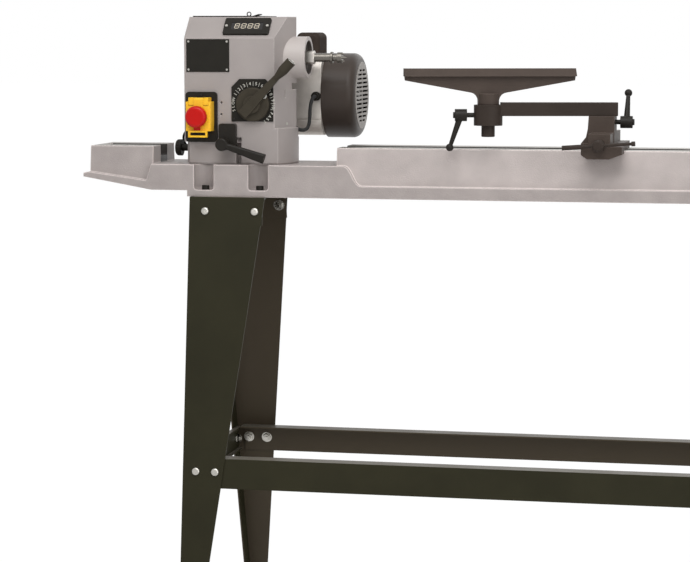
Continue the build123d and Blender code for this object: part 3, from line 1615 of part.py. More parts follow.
def clamp(x):
    """Eye bolt on the cam and the plate that it pulls up under the ways, as two solids."""
    eye_z = cam_z + cam_throw
    plate_top = -way_depth - hole_gap
    plate_low = plate_top - clamp_plate
    with BuildPart() as clamp_pair:
        rod((px(x), eye_half, wz(eye_z)), to_turner, eye_radius, 2 * eye_half)
        block(
            (px(x - eye_slot_x), -eye_half - 1, wz(eye_z - eye_slot_z)),
            (px(x + eye_slot_x), eye_half + 1, wz(eye_z + eye_slot_z)),
            Mode.SUBTRACT,
        )
        shank_top = eye_z - eye_slot_z - 2
        rod((px(x), 0, wz(shank_top)), down, clamp_shank, shank_top - plate_low + slide_fit)
        rod((px(x), 0, wz(plate_low - slide_fit)), down, clamp_head_radius, clamp_head)
        with BuildSketch(level(wz(plate_low))):
            with Locations((px(x), 0)):
                RectangleRounded(2 * clamp_plate_x, 2 * clamp_plate_y, clamp_corner)
                Circle(clamp_shank + hole_gap, mode=Mode.SUBTRACT)
        extrude(amount=clamp_plate)
    return clamp_pair


# Tool rest base: foot on the ways, rib round the cam, nose in front, riser for the arm
with BuildPart() as rest_base:
    block(
        (px(rest_x - rest_foot_left), rest_foot_front, wz(0)),
        (px(rest_x + rest_foot_right), rest_foot_back, wz(rest_foot)),
    )
    block(
        (px(rest_x - rest_rib_half), rest_nose, wz(0)),
        (px(rest_x + rest_rib_half), rest_foot_back, wz(rest_rib)),
    )
    pad = [(px(rest_x + x), wz(z)) for x, z in rest_pad]
    slab(front(rest_pad_back), pad, rest_pad_back - rest_nose)
    riser = [(px(rest_x + x), wz(z)) for x, z in riser_outline]
    slab(front(riser_back), riser, riser_back - riser_front)
    cam_room(rest_x, rest_nose)
    pin_bottom = (px(arm_pivot_x), arm_pivot_y, wz(riser_top - arm_pin_length - 1))
    rod(pin_bottom, up, arm_pin + slide_fit, arm_pin_length + 2, Mode.SUBTRACT)
    lock_hole = (px(arm_pivot_x), arm_pivot_y, wz(arm_lock_z))
    rod(lock_hole, right, lever_screw + hole_gap, lever_hole, Mode.SUBTRACT)

with BuildPart() as rest_cam:
    cam_shaft(rest_x, rest_nose)
    rod((px(rest_x), rest_nose, wz(cam_z)), to_turner, cam_hub_radius, cam_hub)
    fillet(rest_cam.edges().group_by(Axis.Y)[0], cam_hub_round)
    tilt = radians(t_bar_tilt)
    bar_way = (cos(tilt), 0, sin(tilt))
    bar_middle = Vector(px(rest_x), rest_nose - cam_hub / 2, wz(cam_z))
    rod(bar_middle - Vector(*bar_way) * t_bar_left, bar_way, t_bar_radius, t_bar_left + t_bar_right)
    rod(bar_middle - Vector(*bar_way) * t_bar_left, bar_way, t_bar_grip, t_bar_grip_length)
    rod(bar_middle + Vector(*bar_way) * (t_bar_right - t_bar_stop), bar_way, t_bar_grip, t_bar_stop)

rest_clamp = clamp(rest_x)

# Swing arm: bar from its pin on the riser to the socket of the rest's post
arm_turn = radians(180 + arm_angle)
arm_way = Vector(cos(arm_turn), sin(arm_turn), 0)
arm_pivot = Vector(px(arm_pivot_x), arm_pivot_y, wz(riser_top))
socket_axis = arm_pivot + arm_way * arm_reach
post_lock_height = Vector(0, 0, (socket_height - 2 * socket_drop) / 2)
arm_plane = Plane(origin=arm_pivot, x_dir=arm_way, z_dir=up)
with BuildPart() as swing_arm:
    with BuildSketch(arm_plane):
        with Locations(((arm_reach - arm_tail) / 2, 0)):
            RectangleRounded(arm_reach + arm_tail, 2 * arm_half, 3)
    extrude(amount=arm_height)
    rod(arm_pivot, down, arm_pin, arm_pin_length)
    rod(socket_axis - Vector(0, 0, socket_drop), up, socket_boss, socket_height)
    bore_low = socket_axis - Vector(0, 0, socket_drop + 1)
    rod(bore_low, up, rest_post_radius + running_fit, socket_height + arm_height, Mode.SUBTRACT)
    socket_top = socket_axis + Vector(0, 0, socket_height - socket_drop)
    rod(socket_top, up, socket_boss + free_gap, arm_height, Mode.SUBTRACT)
    rod(socket_axis + post_lock_height, arm_way, lever_screw + hole_gap, 2 * socket_boss, Mode.SUBTRACT)

with BuildPart() as arm_lock:
    seat = (px(arm_pivot_x + arm_pin + free_gap), arm_pivot_y, wz(arm_lock_z))
    clamp_lever(seat, right, arm_lock_screw, arm_lock_way, arm_lock_lever)

# Post of the tool rest, the rest itself and the lock of its height
post_low = Vector(socket_axis.X, socket_axis.Y, wz(rest_post_low))
with BuildPart() as rest_post:
    rod(post_low, up, rest_post_radius, rest_post_high - rest_post_low)
    chamfer(rest_post.edges().group_by(Axis.Z)[0], 1)

rest_turn = radians(t_rest_angle)
rest_origin = Vector(socket_axis.X, socket_axis.Y, 0)
rest_way = Vector(cos(rest_turn), sin(rest_turn), 0)
rest_across = Vector(-sin(rest_turn), cos(rest_turn), 0)
rest_face = Plane(origin=rest_origin, x_dir=rest_way, z_dir=rest_across * -1)
neck_z = riser_top - socket_drop + socket_height
with BuildPart() as tool_rest:
    lip_middle = (t_rest_lip[0][1] + t_rest_top) / 2
    web = (
        (-t_rest_left, lip_middle),
        (t_rest_right, lip_middle),
        (t_rest_right - 2, t_rest_top - t_rest_edge),
        (t_rest_hub, neck_z + t_rest_flare),
        (t_rest_hub, neck_z + free_gap),
        (-t_rest_hub, neck_z + free_gap),
        (-t_rest_hub, neck_z + t_rest_flare),
        (2 - t_rest_left, t_rest_top - t_rest_edge),
    )
    with BuildSketch(rest_face) as web_face:
        Polygon(*[(x, wz(z)) for x, z in web])
        flare_corners = web_face.vertices().group_by(Axis.Y)[1]
        fillet(flare_corners, t_rest_flare_round)
    extrude(web_face.sketch, amount=t_rest_web, both=True)
    rest_end = Plane(origin=rest_origin - rest_way * t_rest_left, x_dir=rest_across, z_dir=rest_way)
    slab(rest_end, [(y, wz(z)) for y, z in t_rest_lip], t_rest_left + t_rest_right)
    hub_low = rest_origin + Vector(0, 0, wz(neck_z + free_gap))
    rod(hub_low, up, t_rest_hub, t_rest_hub_high - neck_z - free_gap)
    post_hole = rest_post_high - neck_z + free_gap
    rod(rest_origin + Vector(0, 0, wz(neck_z)), up, rest_post_radius + running_fit, post_hole, Mode.SUBTRACT)

with BuildPart() as rest_lock:
    seat = socket_axis + arm_way * (rest_post_radius + free_gap) + post_lock_height
    lever_down = arm_way * rest_lock_lean + Vector(0, 0, -1)
    clamp_lever(tuple(seat), tuple(arm_way), rest_lock_screw, tuple(lever_down), rest_lock_lever)

# Tailstock casting
with BuildPart() as tailstock:
    block(
        (px(tail_x), -tail_foot_half, wz(0)),
        (px(tail_x + tail_length), tail_foot_half, wz(tail_foot)),
    )
    block(
        (px(tail_x + tail_tongue_set), -slot_half + free_gap, wz(-tail_tongue)),
        (px(tail_x + tail_length - tail_tongue_set), slot_half - free_gap, wz(0)),
    )
    column = (
        (-tail_column_half, wz(tail_foot)),
        (tail_column_half, wz(tail_foot)),
        (tail_neck_half, wz(centre_height)),
        (-tail_neck_half, wz(centre_height)),
    )
    slab(side(px(tail_x + tail_column_set)), column, tail_length - 2 * tail_column_set)
    rod((px(barrel_left), 0, wz(centre_height)), right, barrel_radius, barrel_right - barrel_left)
    cam_room(tail_x + tail_length / 2, -tail_foot_half)
    quill_bore = (px(barrel_left - 1), 0, wz(centre_height))
    quill_room = quill_right - barrel_left + 3
    rod(quill_bore, right, quill_radius + running_fit, quill_room, Mode.SUBTRACT)
    rod(quill_bore, right, screw_core + slide_fit, barrel_right - barrel_left + 2, Mode.SUBTRACT)
    lock_hole = (px(quill_lock_x), 0, wz(centre_height))
    rod(lock_hole, up, lever_screw + hole_gap, lever_hole, Mode.SUBTRACT)

with BuildPart() as quill:
    rod((px(quill_left), 0, wz(centre_height)), right, quill_radius, quill_right - quill_left)
    socket_mouth = (px(quill_left - 1), 0, wz(centre_height))
    rod(socket_mouth, right, quill_socket, quill_socket_depth + 1, Mode.SUBTRACT)
    rod(socket_mouth, right, screw_core + slide_fit, quill_right - quill_left + 2, Mode.SUBTRACT)

with BuildPart() as live_centre:
    with Locations(Plane(origin=(px(point_tip), 0, wz(centre_height)), z_dir=right)):
        Cone(point_flat, point_radius, point_cone, align=on_base)
    body_start = point_tip + point_cone
    body_length = quill_left - free_gap - body_start
    rod((px(body_start), 0, wz(centre_height)), right, point_body, body_length)
    shank = body_length + quill_socket_depth - point_gap
    rod((px(body_start), 0, wz(centre_height)), right, quill_socket - running_fit, shank)

# Handwheel with its screw, rim, spokes and crank
wheel_left = barrel_right + free_gap
with BuildPart() as handwheel:
    screw_end = screw_left + quill_socket_depth
    rod((px(screw_end), 0, wz(centre_height)), right, screw_core, wheel_left - screw_end)
    rod((px(wheel_left), 0, wz(centre_height)), right, wheel_hub, wheel_hub_length)
    rim_start = (px(wheel_left + wheel_set), 0, wz(centre_height))
    with BuildSketch(Plane(origin=rim_start, x_dir=to_back, z_dir=right)):
        Circle(wheel_radius)
        Circle(wheel_radius - wheel_rim, mode=Mode.SUBTRACT)
    extrude(amount=wheel_width)
    fillet(handwheel.edges().filter_by(GeomType.CIRCLE).group_by(SortBy.RADIUS)[-1], wheel_round)
    spoke_start = wheel_left + wheel_set + (wheel_width - spoke_depth) / 2
    spoke_length = wheel_radius - wheel_rim + spoke_bite - spoke_root
    with Locations(Plane(origin=(px(spoke_start), 0, wz(centre_height)), z_dir=right)):
        with PolarLocations(spoke_root + spoke_length / 2, spokes):
            Box(spoke_length, spoke_width, spoke_depth, align=on_base)
    crank = (px(wheel_left + wheel_set), 0, wz(centre_height + wheel_radius - wheel_rim / 2))
    rod(crank, right, crank_radius, wheel_width + crank_length)

with BuildPart() as quill_lock:
    seat = (px(quill_lock_x), 0, wz(centre_height + quill_radius + free_gap))
    clamp_lever(seat, up, quill_lock_screw, quill_lock_way, quill_lock_lever)

tail_cam_x = tail_x + tail_length / 2
with BuildPart() as tail_cam:
    cam_shaft(tail_cam_x, -tail_foot_half)
    rod((px(tail_cam_x), -tail_foot_half, wz(cam_z)), to_turner, cam_hub_radius, cam_hub)
    hub_middle = (px(tail_cam_x), -tail_foot_half - cam_hub / 2, wz(cam_z))
    with Locations(Plane(origin=hub_middle, z_dir=tail_lever_way)):
        Cone(tail_lever_root, tail_lever_end, tail_lever, align=on_base)
        with Locations((0, 0, tail_lever)):
            Sphere(tail_ball)

tail_clamp = clamp(tail_cam_x)

made.update(
    long_rails=long_rails,
    end_rails=end_rails,
    top_plates=top_plates,
    foot_pads=foot_pads,
    stand_bolts=stand_bolts,
    frame_nuts=frame_nuts,
    bed=bed,
    bed_bolts=bed_bolts,
    pivot_post=pivot_post,
    headstock=headstock,
    belt_lid=belt_lid,
    ball_bearings=ball_bearings,
    spindle=spindle,
    spur_centre=spur_centre,
    spindle_pulley=spindle_pulley,
    spindle_sliding_pulley=spindle_sliding_pulley,
    motor_pulley=motor_pulley,
    motor_sliding_pulley=motor_sliding_pulley,
    drive_belt=drive_belt,
    motor_body=motor_body,
    motor_rotor=motor_rotor,
    fan_cover=fan_cover,
    capacitor_box=capacitor_box,
    cable_gland=cable_gland,
    motor_lead=motor_lead,
    dial_plate=dial_plate,
    speed_lever=speed_lever,
    shift_fork=shift_fork,
    display_bezel=display_bezel,
    display_window=display_window,
    nameplate=nameplate,
    panel_screws=panel_screws,
    switch_plate=switch_plate,
    switch_box=switch_box,
    stop_flap=stop_flap,
    stop_mushroom=stop_mushroom,
    start_button=start_button,
    stop_button=stop_button,
    lock_block=lock_block,
    lock_lever=lock_lever_part,
    index_plunger=index_plunger,
    rest_base=rest_base,
    rest_cam=rest_cam,
    rest_clamp=rest_clamp,
    swing_arm=swing_arm,
    arm_lock=arm_lock,
    rest_post=rest_post,
    tool_rest=tool_rest,
    rest_lock=rest_lock,
    tailstock=tailstock,
    quill=quill,
    live_centre=live_centre,
    handwheel=handwheel,
    quill_lock=quill_lock,
    tail_cam=tail_cam,
    tail_clamp=tail_clamp,
)
for name, piece in made.items():
    piece.part.label = name
    export_step(piece.part, f"parts/{name}.step")
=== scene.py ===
"""Finishes, small pieces and studio of a swivel head wood lathe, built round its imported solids."""

import json
from math import cos, pi, radians, sin
from typing import NamedTuple

import bpy
import numpy as np
from bpy.props import FloatProperty, FloatVectorProperty, PointerProperty
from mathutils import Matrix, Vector


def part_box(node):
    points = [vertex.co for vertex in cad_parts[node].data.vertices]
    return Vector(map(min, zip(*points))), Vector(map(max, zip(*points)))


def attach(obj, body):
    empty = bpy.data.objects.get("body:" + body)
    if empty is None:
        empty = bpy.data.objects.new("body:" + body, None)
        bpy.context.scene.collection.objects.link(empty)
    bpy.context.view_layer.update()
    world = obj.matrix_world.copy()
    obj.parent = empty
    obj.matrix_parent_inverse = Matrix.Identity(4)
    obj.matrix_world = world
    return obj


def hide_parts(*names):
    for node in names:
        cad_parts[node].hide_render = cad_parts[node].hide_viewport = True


bl_info = {
    "name": "Swivel Head Wood Lathe",
    "version": (1, 0, 0),
    "blender": (4, 5, 0),
    "location": "View3D > Sidebar > Lathe",
    "description": "Finishes and small pieces of a wood lathe, built round its packed solids",
    "category": "Add Mesh",
}

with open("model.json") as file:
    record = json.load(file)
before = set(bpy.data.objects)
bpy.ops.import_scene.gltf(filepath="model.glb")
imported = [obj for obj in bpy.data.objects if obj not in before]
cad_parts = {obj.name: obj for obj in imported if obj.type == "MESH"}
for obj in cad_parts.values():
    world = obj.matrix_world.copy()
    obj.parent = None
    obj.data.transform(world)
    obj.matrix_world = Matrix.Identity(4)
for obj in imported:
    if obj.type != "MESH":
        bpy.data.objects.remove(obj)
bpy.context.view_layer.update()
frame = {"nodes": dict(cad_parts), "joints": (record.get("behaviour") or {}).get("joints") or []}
nodes = frame["nodes"]
joints = {joint["name"]: joint for joint in frame["joints"]}

MM = 0.001


# Places read from the frame


def corners(node):
    """All points of a node, one row each."""
    mesh = nodes[node].data
    points = np.empty(3 * len(mesh.vertices))
    mesh.vertices.foreach_get("co", points)
    return points.reshape(-1, 3)


def reach(node, direction):
    """How far a node's points go along a direction."""
    return float((corners(node) @ np.array(direction)).max())


def middle(node):
    """Centre of a node's box."""
    low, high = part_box(node)
    return np.array((low + high) / 2)


def pivot(joint):
    """Point on a joint's axis."""
    return np.array(joints[joint]["pos_m"])


way_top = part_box("bed")[1].z
post_x = pivot("head_swivel")[0]
head_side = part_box("headstock")[0].x
dial_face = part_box("dial_plate")[0].y
dial_hub = pivot("speed_turn")
cover_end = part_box("fan_cover")[1].x
spindle_axis = pivot("spindle_spin")


def along_bed(span):
    """Both ends of a span along X, from millimetres off the swivel post to metres."""
    return post_x + np.array(span) * MM


# Lengths are in millimetres unless a heading says otherwise, along X from the swivel post; angles in degrees

# Slots between the ways, where a painted shade goes, the web of the bed under them, painted lighter as a
# painted highlight, and the depth of the ways' bare skin
RAISED_SLOT = (-242, -142)
LONG_SLOT = (182.5, 1236)
SLOT_HALF = 20.8
WEB = (182.5, 1190)
WEB_HALF = 74
WEB_PAINTED_LIGHT = 1.22
WAY_SKIN = 0.5

# Spindle boss of the headstock, which gets a painted highlight, its recess, which gets a painted shade, and
# the collar with flats behind the spindle's nose, which gets a painted highlight
BOSS = (70, 119.5)
BOSS_RADIUS = 36.4
RECESS_RADIUS = 29.3
COLLAR = (113, 129.5)

# Screws of the switch and the dial: highest over the ways, and span before and behind the dial's face
CONTROLS_TOP = 118
CONTROLS_DEPTH = (-20, 4)

# Depth of the fan cover's bare end
GRILLE_DEPTH = 0.7

# Shares of a normal from which a face counts as level or as facing up, and the limit for facing inward
LEVEL = 0.95
UPWARD = 0.9
INWARD = -0.01

# Digits of the display: how many, the gap between segments, their slant and how far they stand out
DIGITS = 4
SEGMENT_GAP = 0.25
DIGIT_LEAN = 0.12
DIGIT_RELIEF = 0.2

# Print on the dial by angles from the right: numerals, words with start and step, and the words' size
NUMERALS = 10
FIRST_NUMERAL = 151
WORDS = (("SLOW", 197, -10.4), ("FAST", -25, -9.8))
WORD_SHARE = 0.9

# Ticks between the numerals, how far print stands out and off the dial, and a font's size over its capitals
TICK_HALF = 0.28
TICK_SPAN = (-2.0, 6.0)
PRINT_RELIEF = 0.12
PRINT_GAP = 0.02
CAPITAL_SHARE = 1.38

# Speed lever: the screw's place from the dial's hub and face, its radii with heights, and the ring of
# painted highlight on the grip's end
LEVER_SCREW = (21.6, -8.2, 14.5)
SCREW_PROFILE = (
    (0.1, 0.5),
    (2.2, 0.5),
    (2.4, 1.5),
    (2.8, 1.8),
    (3.8, 1.8),
    (4.3, 1.3),
    (4.3, -0.4),
    (0.1, -0.4),
)
LEVER_ANGLE = 46.5
GRIP_REACH = 102
GRIP_STAND = 12.3
HIGHLIGHT_RING_RADIUS = 6.9
HIGHLIGHT_RING_WIRE = 0.5
HIGHLIGHT_RING_POINTS = 48
HIGHLIGHT_RING_SIDES = 10

# Wire hoop: its seat in the head's side, how far it bulges out and back, its middle over the knob, its half
HOOP_POINTS = 40
HOOP_SEAT = 4
HOOP_BULGE = 26.5
HOOP_BACK = 12
HOOP_MIDDLE = 13.8
HOOP_HALF = 20.9

# Camera: width of its sensor in millimetres, and how far it sees in metres
SENSOR = 36
CLIP_END = 200

# Lamps in metres: place and width, all aimed at one point
LAMP_AIM = (0.0, 0.0, 0.75)
LAMPS = {
    "key": ((0.0, -2.0, 3.3), 2.6),
    "fill": ((3.4, -3.4, 1.7), 2.6),
    "rim": ((0.6, 3.2, 2.6), 2.4),
}

# Floor: points along each side, its grey, how white it looks and how much of that shows
FLOOR_POINTS = 9
FLOOR_GREY = 0.86
FLOOR_GLOW = 1.05
FLOOR_WHITE = 0.94

# Route of the motor's lead, in millimetres from the swivel post, the bed's middle and the top of the ways
LEAD_ROUTE = (
    (118.6, 48, 84),
    (118.6, 38, 84),
    (116.6, 33, 78),
    (113.6, 32, 66),
    (112.6, 34, 40),
    (108.6, 31, 26),
    (94.6, 22, 26),
    (87.6, 12, 38),
    (87.6, 0, 38),
)


def tone(red, green, blue):
    """Linear colour of a screen colour given from 0 to 255."""
    shares = np.array((red, green, blue)) / 255
    linear = np.where(shares <= 0.04045, shares / 12.92, ((shares + 0.055) / 1.055) ** 2.4)
    return tuple(float(v) for v in linear)


def colour(name, description, screen):
    """Colour property whose default is a screen colour."""
    return FloatVectorProperty(
        name=name,
        description=description,
        subtype="COLOR",
        size=3,
        min=0.0,
        max=1.0,
        default=tone(*screen),
    )


def length(name, description, millimetres):
    """Length property whose default is in millimetres."""
    return FloatProperty(
        name=name,
        description=description,
        unit="LENGTH",
        min=0.0,
        default=millimetres * MM,
    )


def power(name, description, watts):
    """Power property of a lamp."""
    return FloatProperty(name=name, description=description, unit="POWER", min=0.0, default=watts)


class LatheColours(bpy.types.PropertyGroup):
    """Colours of the machine's finishes."""

    stand: colour("Stand", "Powder coat of the legs and rails", (42, 40, 26))
    # Painted light: the stand's inside faces are painted a lighter brown, standing in for light bounced onto
    # them
    inside: colour("Stand inside", "Browner coat on the stand's inside faces", (72, 64, 52))
    # Painted highlight: faces of the stand that face up, such as the rails' top flanges, are painted lighter
    # as a sheen
    top_sheen: colour("Dust", "Dust on the stand where it faces up", (104, 99, 90))
    bed: colour("Bed", "Paint of the bed casting", (167, 158, 155))
    head: colour("Head", "Paint of the headstock and tailstock", (161, 153, 150))
    # Painted highlight: the spindle's boss is painted lighter than the head for the light it catches
    boss: colour("Boss", "Paint of the spindle's boss", (190, 182, 178))
    # Painted shade: the recess round the spindle's nose is painted dark for the shade in it
    recess: colour("Recess", "Unpainted recess round the spindle's nose", (84, 78, 74))
    rest: colour("Tool rest", "Dark paint of the tool rest, its base and the handwheel", (76, 66, 60))
    arm: colour("Arm", "Darker paint of the swing arm, its post and the cams", (56, 48, 43))
    cover: colour("Fan cover", "Fan cover and capacitor box of the motor", (63, 55, 50))
    # Painted shade: the bed's slot is painted dark for the shade in it
    slot_shade: colour("Iron", "Bare iron inside the bed's slot", (50, 46, 43))
    grille: colour("Grille", "Bare end of the fan cover", (150, 144, 138))
    plastic: colour("Black plastic", "Moulded plastic of the dial, the plates and the knob", (36, 34, 30))
    flap: colour("Flap", "Yellow plastic of the switch", (255, 196, 50))
    mushroom: colour("Mushroom", "Red plastic of the stop button", (196, 14, 8))
    start: colour("Start button", "Green plastic of the start button", (30, 140, 70))
    lever: colour("Speed lever", "Plastic of the speed lever", (60, 55, 46))
    steel: colour("Steel", "Turned steel of quill, posts and ways", (150, 146, 140))
    # Painted highlight: the collar's flats are painted much lighter than the spindle's steel for the light
    # they catch
    collar: colour("Collar", "Bright flats behind the spindle's nose", (222, 217, 210))
    nose: colour("Spindle nose", "Darker steel of the spindle's nose and the spur centre", (112, 108, 102))
    alloy: colour("Alloy", "Cast alloy of the motor and pulleys", (208, 202, 195))
    zinc: colour("Zinc", "Plated bolts and nuts", (184, 181, 174))
    oxide: colour("Black oxide", "Blackened steel of levers and bolts", (34, 31, 27))
    rubber: colour("Rubber", "Feet, lead and belt", (18, 17, 15))
    print_white: colour("Print", "White print on the dial", (226, 224, 214))
    # Painted glow: the display's segments are shown glowing in this colour, though they are not lit
    segment_glow: colour("Digits", "Lit segments of the display", (188, 178, 160))
    window: colour("Window", "Dark window of the display", (20, 18, 18))


class LatheSizes(bpy.types.PropertyGroup):
    """Sizes of the small pieces that are added to the solids."""

    digit_height: length("Digit height", "Height of a display digit", 12.5)
    digit_width: length("Digit width", "Width of a display digit", 8.8)
    digit_pitch: length("Digit pitch", "Distance from one digit to the next", 11.6)
    segment: length("Segment", "Width of a lit segment", 1.6)
    print_height: length("Print height", "Height of the dial's numerals", 5.6)
    print_radius: length("Print radius", "Radius that the numerals stand on", 33.2)
    print_step: FloatProperty(
        name="Print step",
        description="Angle from one numeral to the next",
        subtype="ANGLE",
        default=radians(17.4),
    )
    hoop_wire: length("Hoop wire", "Diameter of the wire over the index knob", 4.0)
    lead: length("Lead", "Diameter of the motor's lead", 6.2)
    lead_length: length("Lead length", "Length of the motor's lead", 112.8)


class LatheStage(bpy.types.PropertyGroup):
    """Camera, lamps and floor."""

    camera_place: FloatVectorProperty(
        name="Camera",
        description="Place of the camera",
        subtype="TRANSLATION",
        unit="LENGTH",
        size=3,
        default=(0.5477, -4.0339, 1.08965),
    )
    camera_yaw: FloatProperty(
        name="Yaw",
        description="Turn of the camera to the left",
        subtype="ANGLE",
        default=radians(12.0),
    )
    camera_pitch: FloatProperty(
        name="Pitch",
        description="Turn of the camera below the horizon",
        subtype="ANGLE",
        default=radians(6.0714),
    )
    lens: FloatProperty(
        name="Lens",
        description="Focal length on the camera's sensor",
        subtype="DISTANCE_CAMERA",
        default=124.6,
    )
    ambient: FloatProperty(
        name="Ambient",
        description="Strength of the world's even light",
        min=0.0,
        default=0.34,
    )
    key: power("Key", "Power of the lamp overhead", 76.0)
    fill: power("Fill", "Power of the lamp in front at the right", 52.0)
    rim: power("Rim", "Power of the lamp behind", 12.0)
    floor_size: FloatProperty(
        name="Floor",
        description="Half of the floor's width",
        unit="LENGTH",
        default=40.0,
    )


# Meshes from arrays


def piece(name, points, faces, body, material):
    """New object from an array of points and a list of faces, riding on a body."""
    mesh = bpy.data.meshes.new(name)
    mesh.from_pydata(np.asarray(points).reshape(-1, 3).tolist(), [], faces)
    mesh.validate()
    mesh.update()
    made = bpy.data.objects.new(name, mesh)
    bpy.context.scene.collection.objects.link(made)
    mesh.materials.append(material)
    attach(made, body)
    return made


def grid_faces(rows, columns, wrap=False, start=0):
    """Quads of a grid of points; wrap joins the last column to the first."""
    across = columns if wrap else columns - 1
    row, column = np.meshgrid(np.arange(rows - 1), np.arange(across), indexing="ij")
    following = (column + 1) % columns
    near, far = row * columns, (row + 1) * columns
    quads = (near + column, near + following, far + following, far + column)
    return (np.stack(quads, axis=-1).reshape(-1, 4) + start).tolist()


def prism(outline, normal, thickness, start=0):
    """Closed prism: an outline of points, and the same outline moved along a normal."""
    base = np.asarray(outline, float)
    count = len(base)
    points = np.vstack((base, base + np.asarray(normal) * thickness))
    faces = grid_faces(2, count, True, start)
    faces.append([start + i for i in reversed(range(count))])
    faces.append([start + count + i for i in range(count)])
    return points, faces


def tube(path, radius, sides=16):
    """Round tube: at each point of a path a circle square to the path, carried along by the least turn."""
    off_path = (0.3, 0.5, 0.81)
    path = np.asarray(path, float)
    tangents = np.gradient(path, axis=0)
    tangents /= np.linalg.norm(tangents, axis=1)[:, None]
    across = np.cross(tangents[0], off_path)
    frames = []
    for tangent in tangents:
        across = across - tangent * (across @ tangent)
        across = across / np.linalg.norm(across)
        frames.append((across, np.cross(tangent, across)))
    frames = np.array(frames)
    turn = np.linspace(0, 2 * pi, sides, endpoint=False)
    circle = np.stack((np.cos(turn), np.sin(turn)), axis=1) * radius
    points = path[:, None, :] + np.einsum("sk,pkd->psd", circle, frames)
    faces = grid_faces(len(path), sides, True)
    last = (len(path) - 1) * sides
    faces.append(list(reversed(range(sides))))
    faces.append([last + i for i in range(sides)])
    return points, [list(reversed(face)) for face in faces]


def turned(profile, base, axis, across, turns=40):
    """Turned solid: a profile of radius and height carried round an axis, closed at both ends."""
    profile = np.asarray(profile, float) * MM
    angle = np.linspace(0, 2 * pi, turns, endpoint=False)[:, None]
    ring = np.cos(angle) * across + np.sin(angle) * np.cross(axis, across)
    points = base + profile[:, None, :1] * ring + profile[:, None, 1:] * axis
    faces = grid_faces(len(profile), turns, True)
    last = (len(profile) - 1) * turns
    faces.append(list(reversed(range(turns))))
    faces.append([last + i for i in range(turns)])
    return points, faces


# Materials


def put(tree, kind, inputs=None, **options):
    """New shader node; inputs are values, or sockets to link from."""
    node = tree.nodes.new("ShaderNode" + kind)
    for name, value in options.items():
        setattr(node, name, value)
    for key, value in (inputs or {}).items():
        if isinstance(value, bpy.types.NodeSocket):
            tree.links.new(value, node.inputs[key])
        else:
            node.inputs[key].default_value = value
    return node


def new_group(name, inputs, outputs):
    """Shader node group with named float inputs and named outputs; returns it with its two ends."""
    group = bpy.data.node_groups.new(name, "ShaderNodeTree")
    for label, value in inputs:
        socket = group.interface.new_socket(label, in_out="INPUT", socket_type="NodeSocketFloat")
        socket.default_value = value
    for label, kind in outputs:
        group.interface.new_socket(label, in_out="OUTPUT", socket_type=kind)
    entry = group.nodes.new("NodeGroupInput")
    leave = group.nodes.new("NodeGroupOutput")
    return group, entry.outputs, leave.inputs


def grain_group():
    """Skin of a casting or moulding: fine pits for the bump, and a slow mottle for the shade."""
    group, given, result = new_group(
        "skin_grain",
        (("Fine Scale", 700.0), ("Mottle Scale", 30.0)),
        (("Height", "NodeSocketFloat"), ("Shade", "NodeSocketFloat")),
    )
    place = put(group, "TexCoord").outputs["Object"]
    fine = put(group, "TexNoise", {"Vector": place, "Scale": given["Fine Scale"], "Detail": 3.0})
    mottle = put(group, "TexNoise", {"Vector": place, "Scale": given["Mottle Scale"], "Detail": 4.0})
    shade = put(group, "MapRange", {"Value": mottle.outputs["Fac"], "From Min": 0.3, "From Max": 0.7})
    group.links.new(fine.outputs["Fac"], result["Height"])
    group.links.new(shade.outputs["Result"], result["Shade"])
    return group


def edge_group():
    """Rounded edges: a normal that rolls over each edge, and a mask of the edge itself."""
    group, given, result = new_group(
        "soft_edges",
        (("Width", 0.001),),
        (("Normal", "NodeSocketVector"), ("Edge", "NodeSocketFloat")),
    )
    rolled = put(group, "Bevel", {"Radius": given["Width"]}, samples=6)
    facing = put(group, "NewGeometry").outputs["Normal"]
    same = put(group, "VectorMath", {0: rolled.outputs["Normal"], 1: facing}, operation="DOT_PRODUCT")
    edge = put(group, "MapRange", {"Value": same.outputs["Value"], "From Min": 0.985, "From Max": 0.8})
    group.links.new(rolled.outputs["Normal"], result["Normal"])
    group.links.new(edge.outputs["Result"], result["Edge"])
    return group


def turned_group():
    """Tool marks of turned steel: noise of the place along X and of the distance from the axis."""
    group, given, result = new_group(
        "turned_marks",
        (("Axis Y", 0.0), ("Axis Z", 0.0), ("Scale", 900.0)),
        (("Height", "NodeSocketFloat"),),
    )
    place = put(group, "SeparateXYZ", {0: put(group, "TexCoord").outputs["Object"]})
    off_y = put(group, "Math", {0: place.outputs["Y"], 1: given["Axis Y"]}, operation="SUBTRACT")
    off_z = put(group, "Math", {0: place.outputs["Z"], 1: given["Axis Z"]}, operation="SUBTRACT")
    across = put(group, "CombineXYZ", {"X": off_y.outputs[0], "Y": off_z.outputs[0]})
    radius = put(group, "VectorMath", {0: across.outputs[0]}, operation="LENGTH")
    marks = put(group, "CombineXYZ", {"X": place.outputs["X"], "Y": radius.outputs["Value"]})
    noise = put(group, "TexNoise", {"Vector": marks.outputs[0], "Scale": given["Scale"], "Detail": 2.0})
    group.links.new(noise.outputs["Fac"], result["Height"])
    return group


def place_group(tree, name, **values):
    """A shared node group in a material, with its own values."""
    makers = {"skin_grain": grain_group, "soft_edges": edge_group, "turned_marks": turned_group}
    node = tree.nodes.new("ShaderNodeGroup")
    node.node_tree = bpy.data.node_groups.get(name) or makers[name]()
    for label, value in values.items():
        node.inputs[label.replace("_", " ").title()].default_value = value
    return node.outputs


def shaded(rgb, share):
    """A colour made lighter or darker."""
    return (*[min(1.0, v * share) for v in rgb], 1.0)


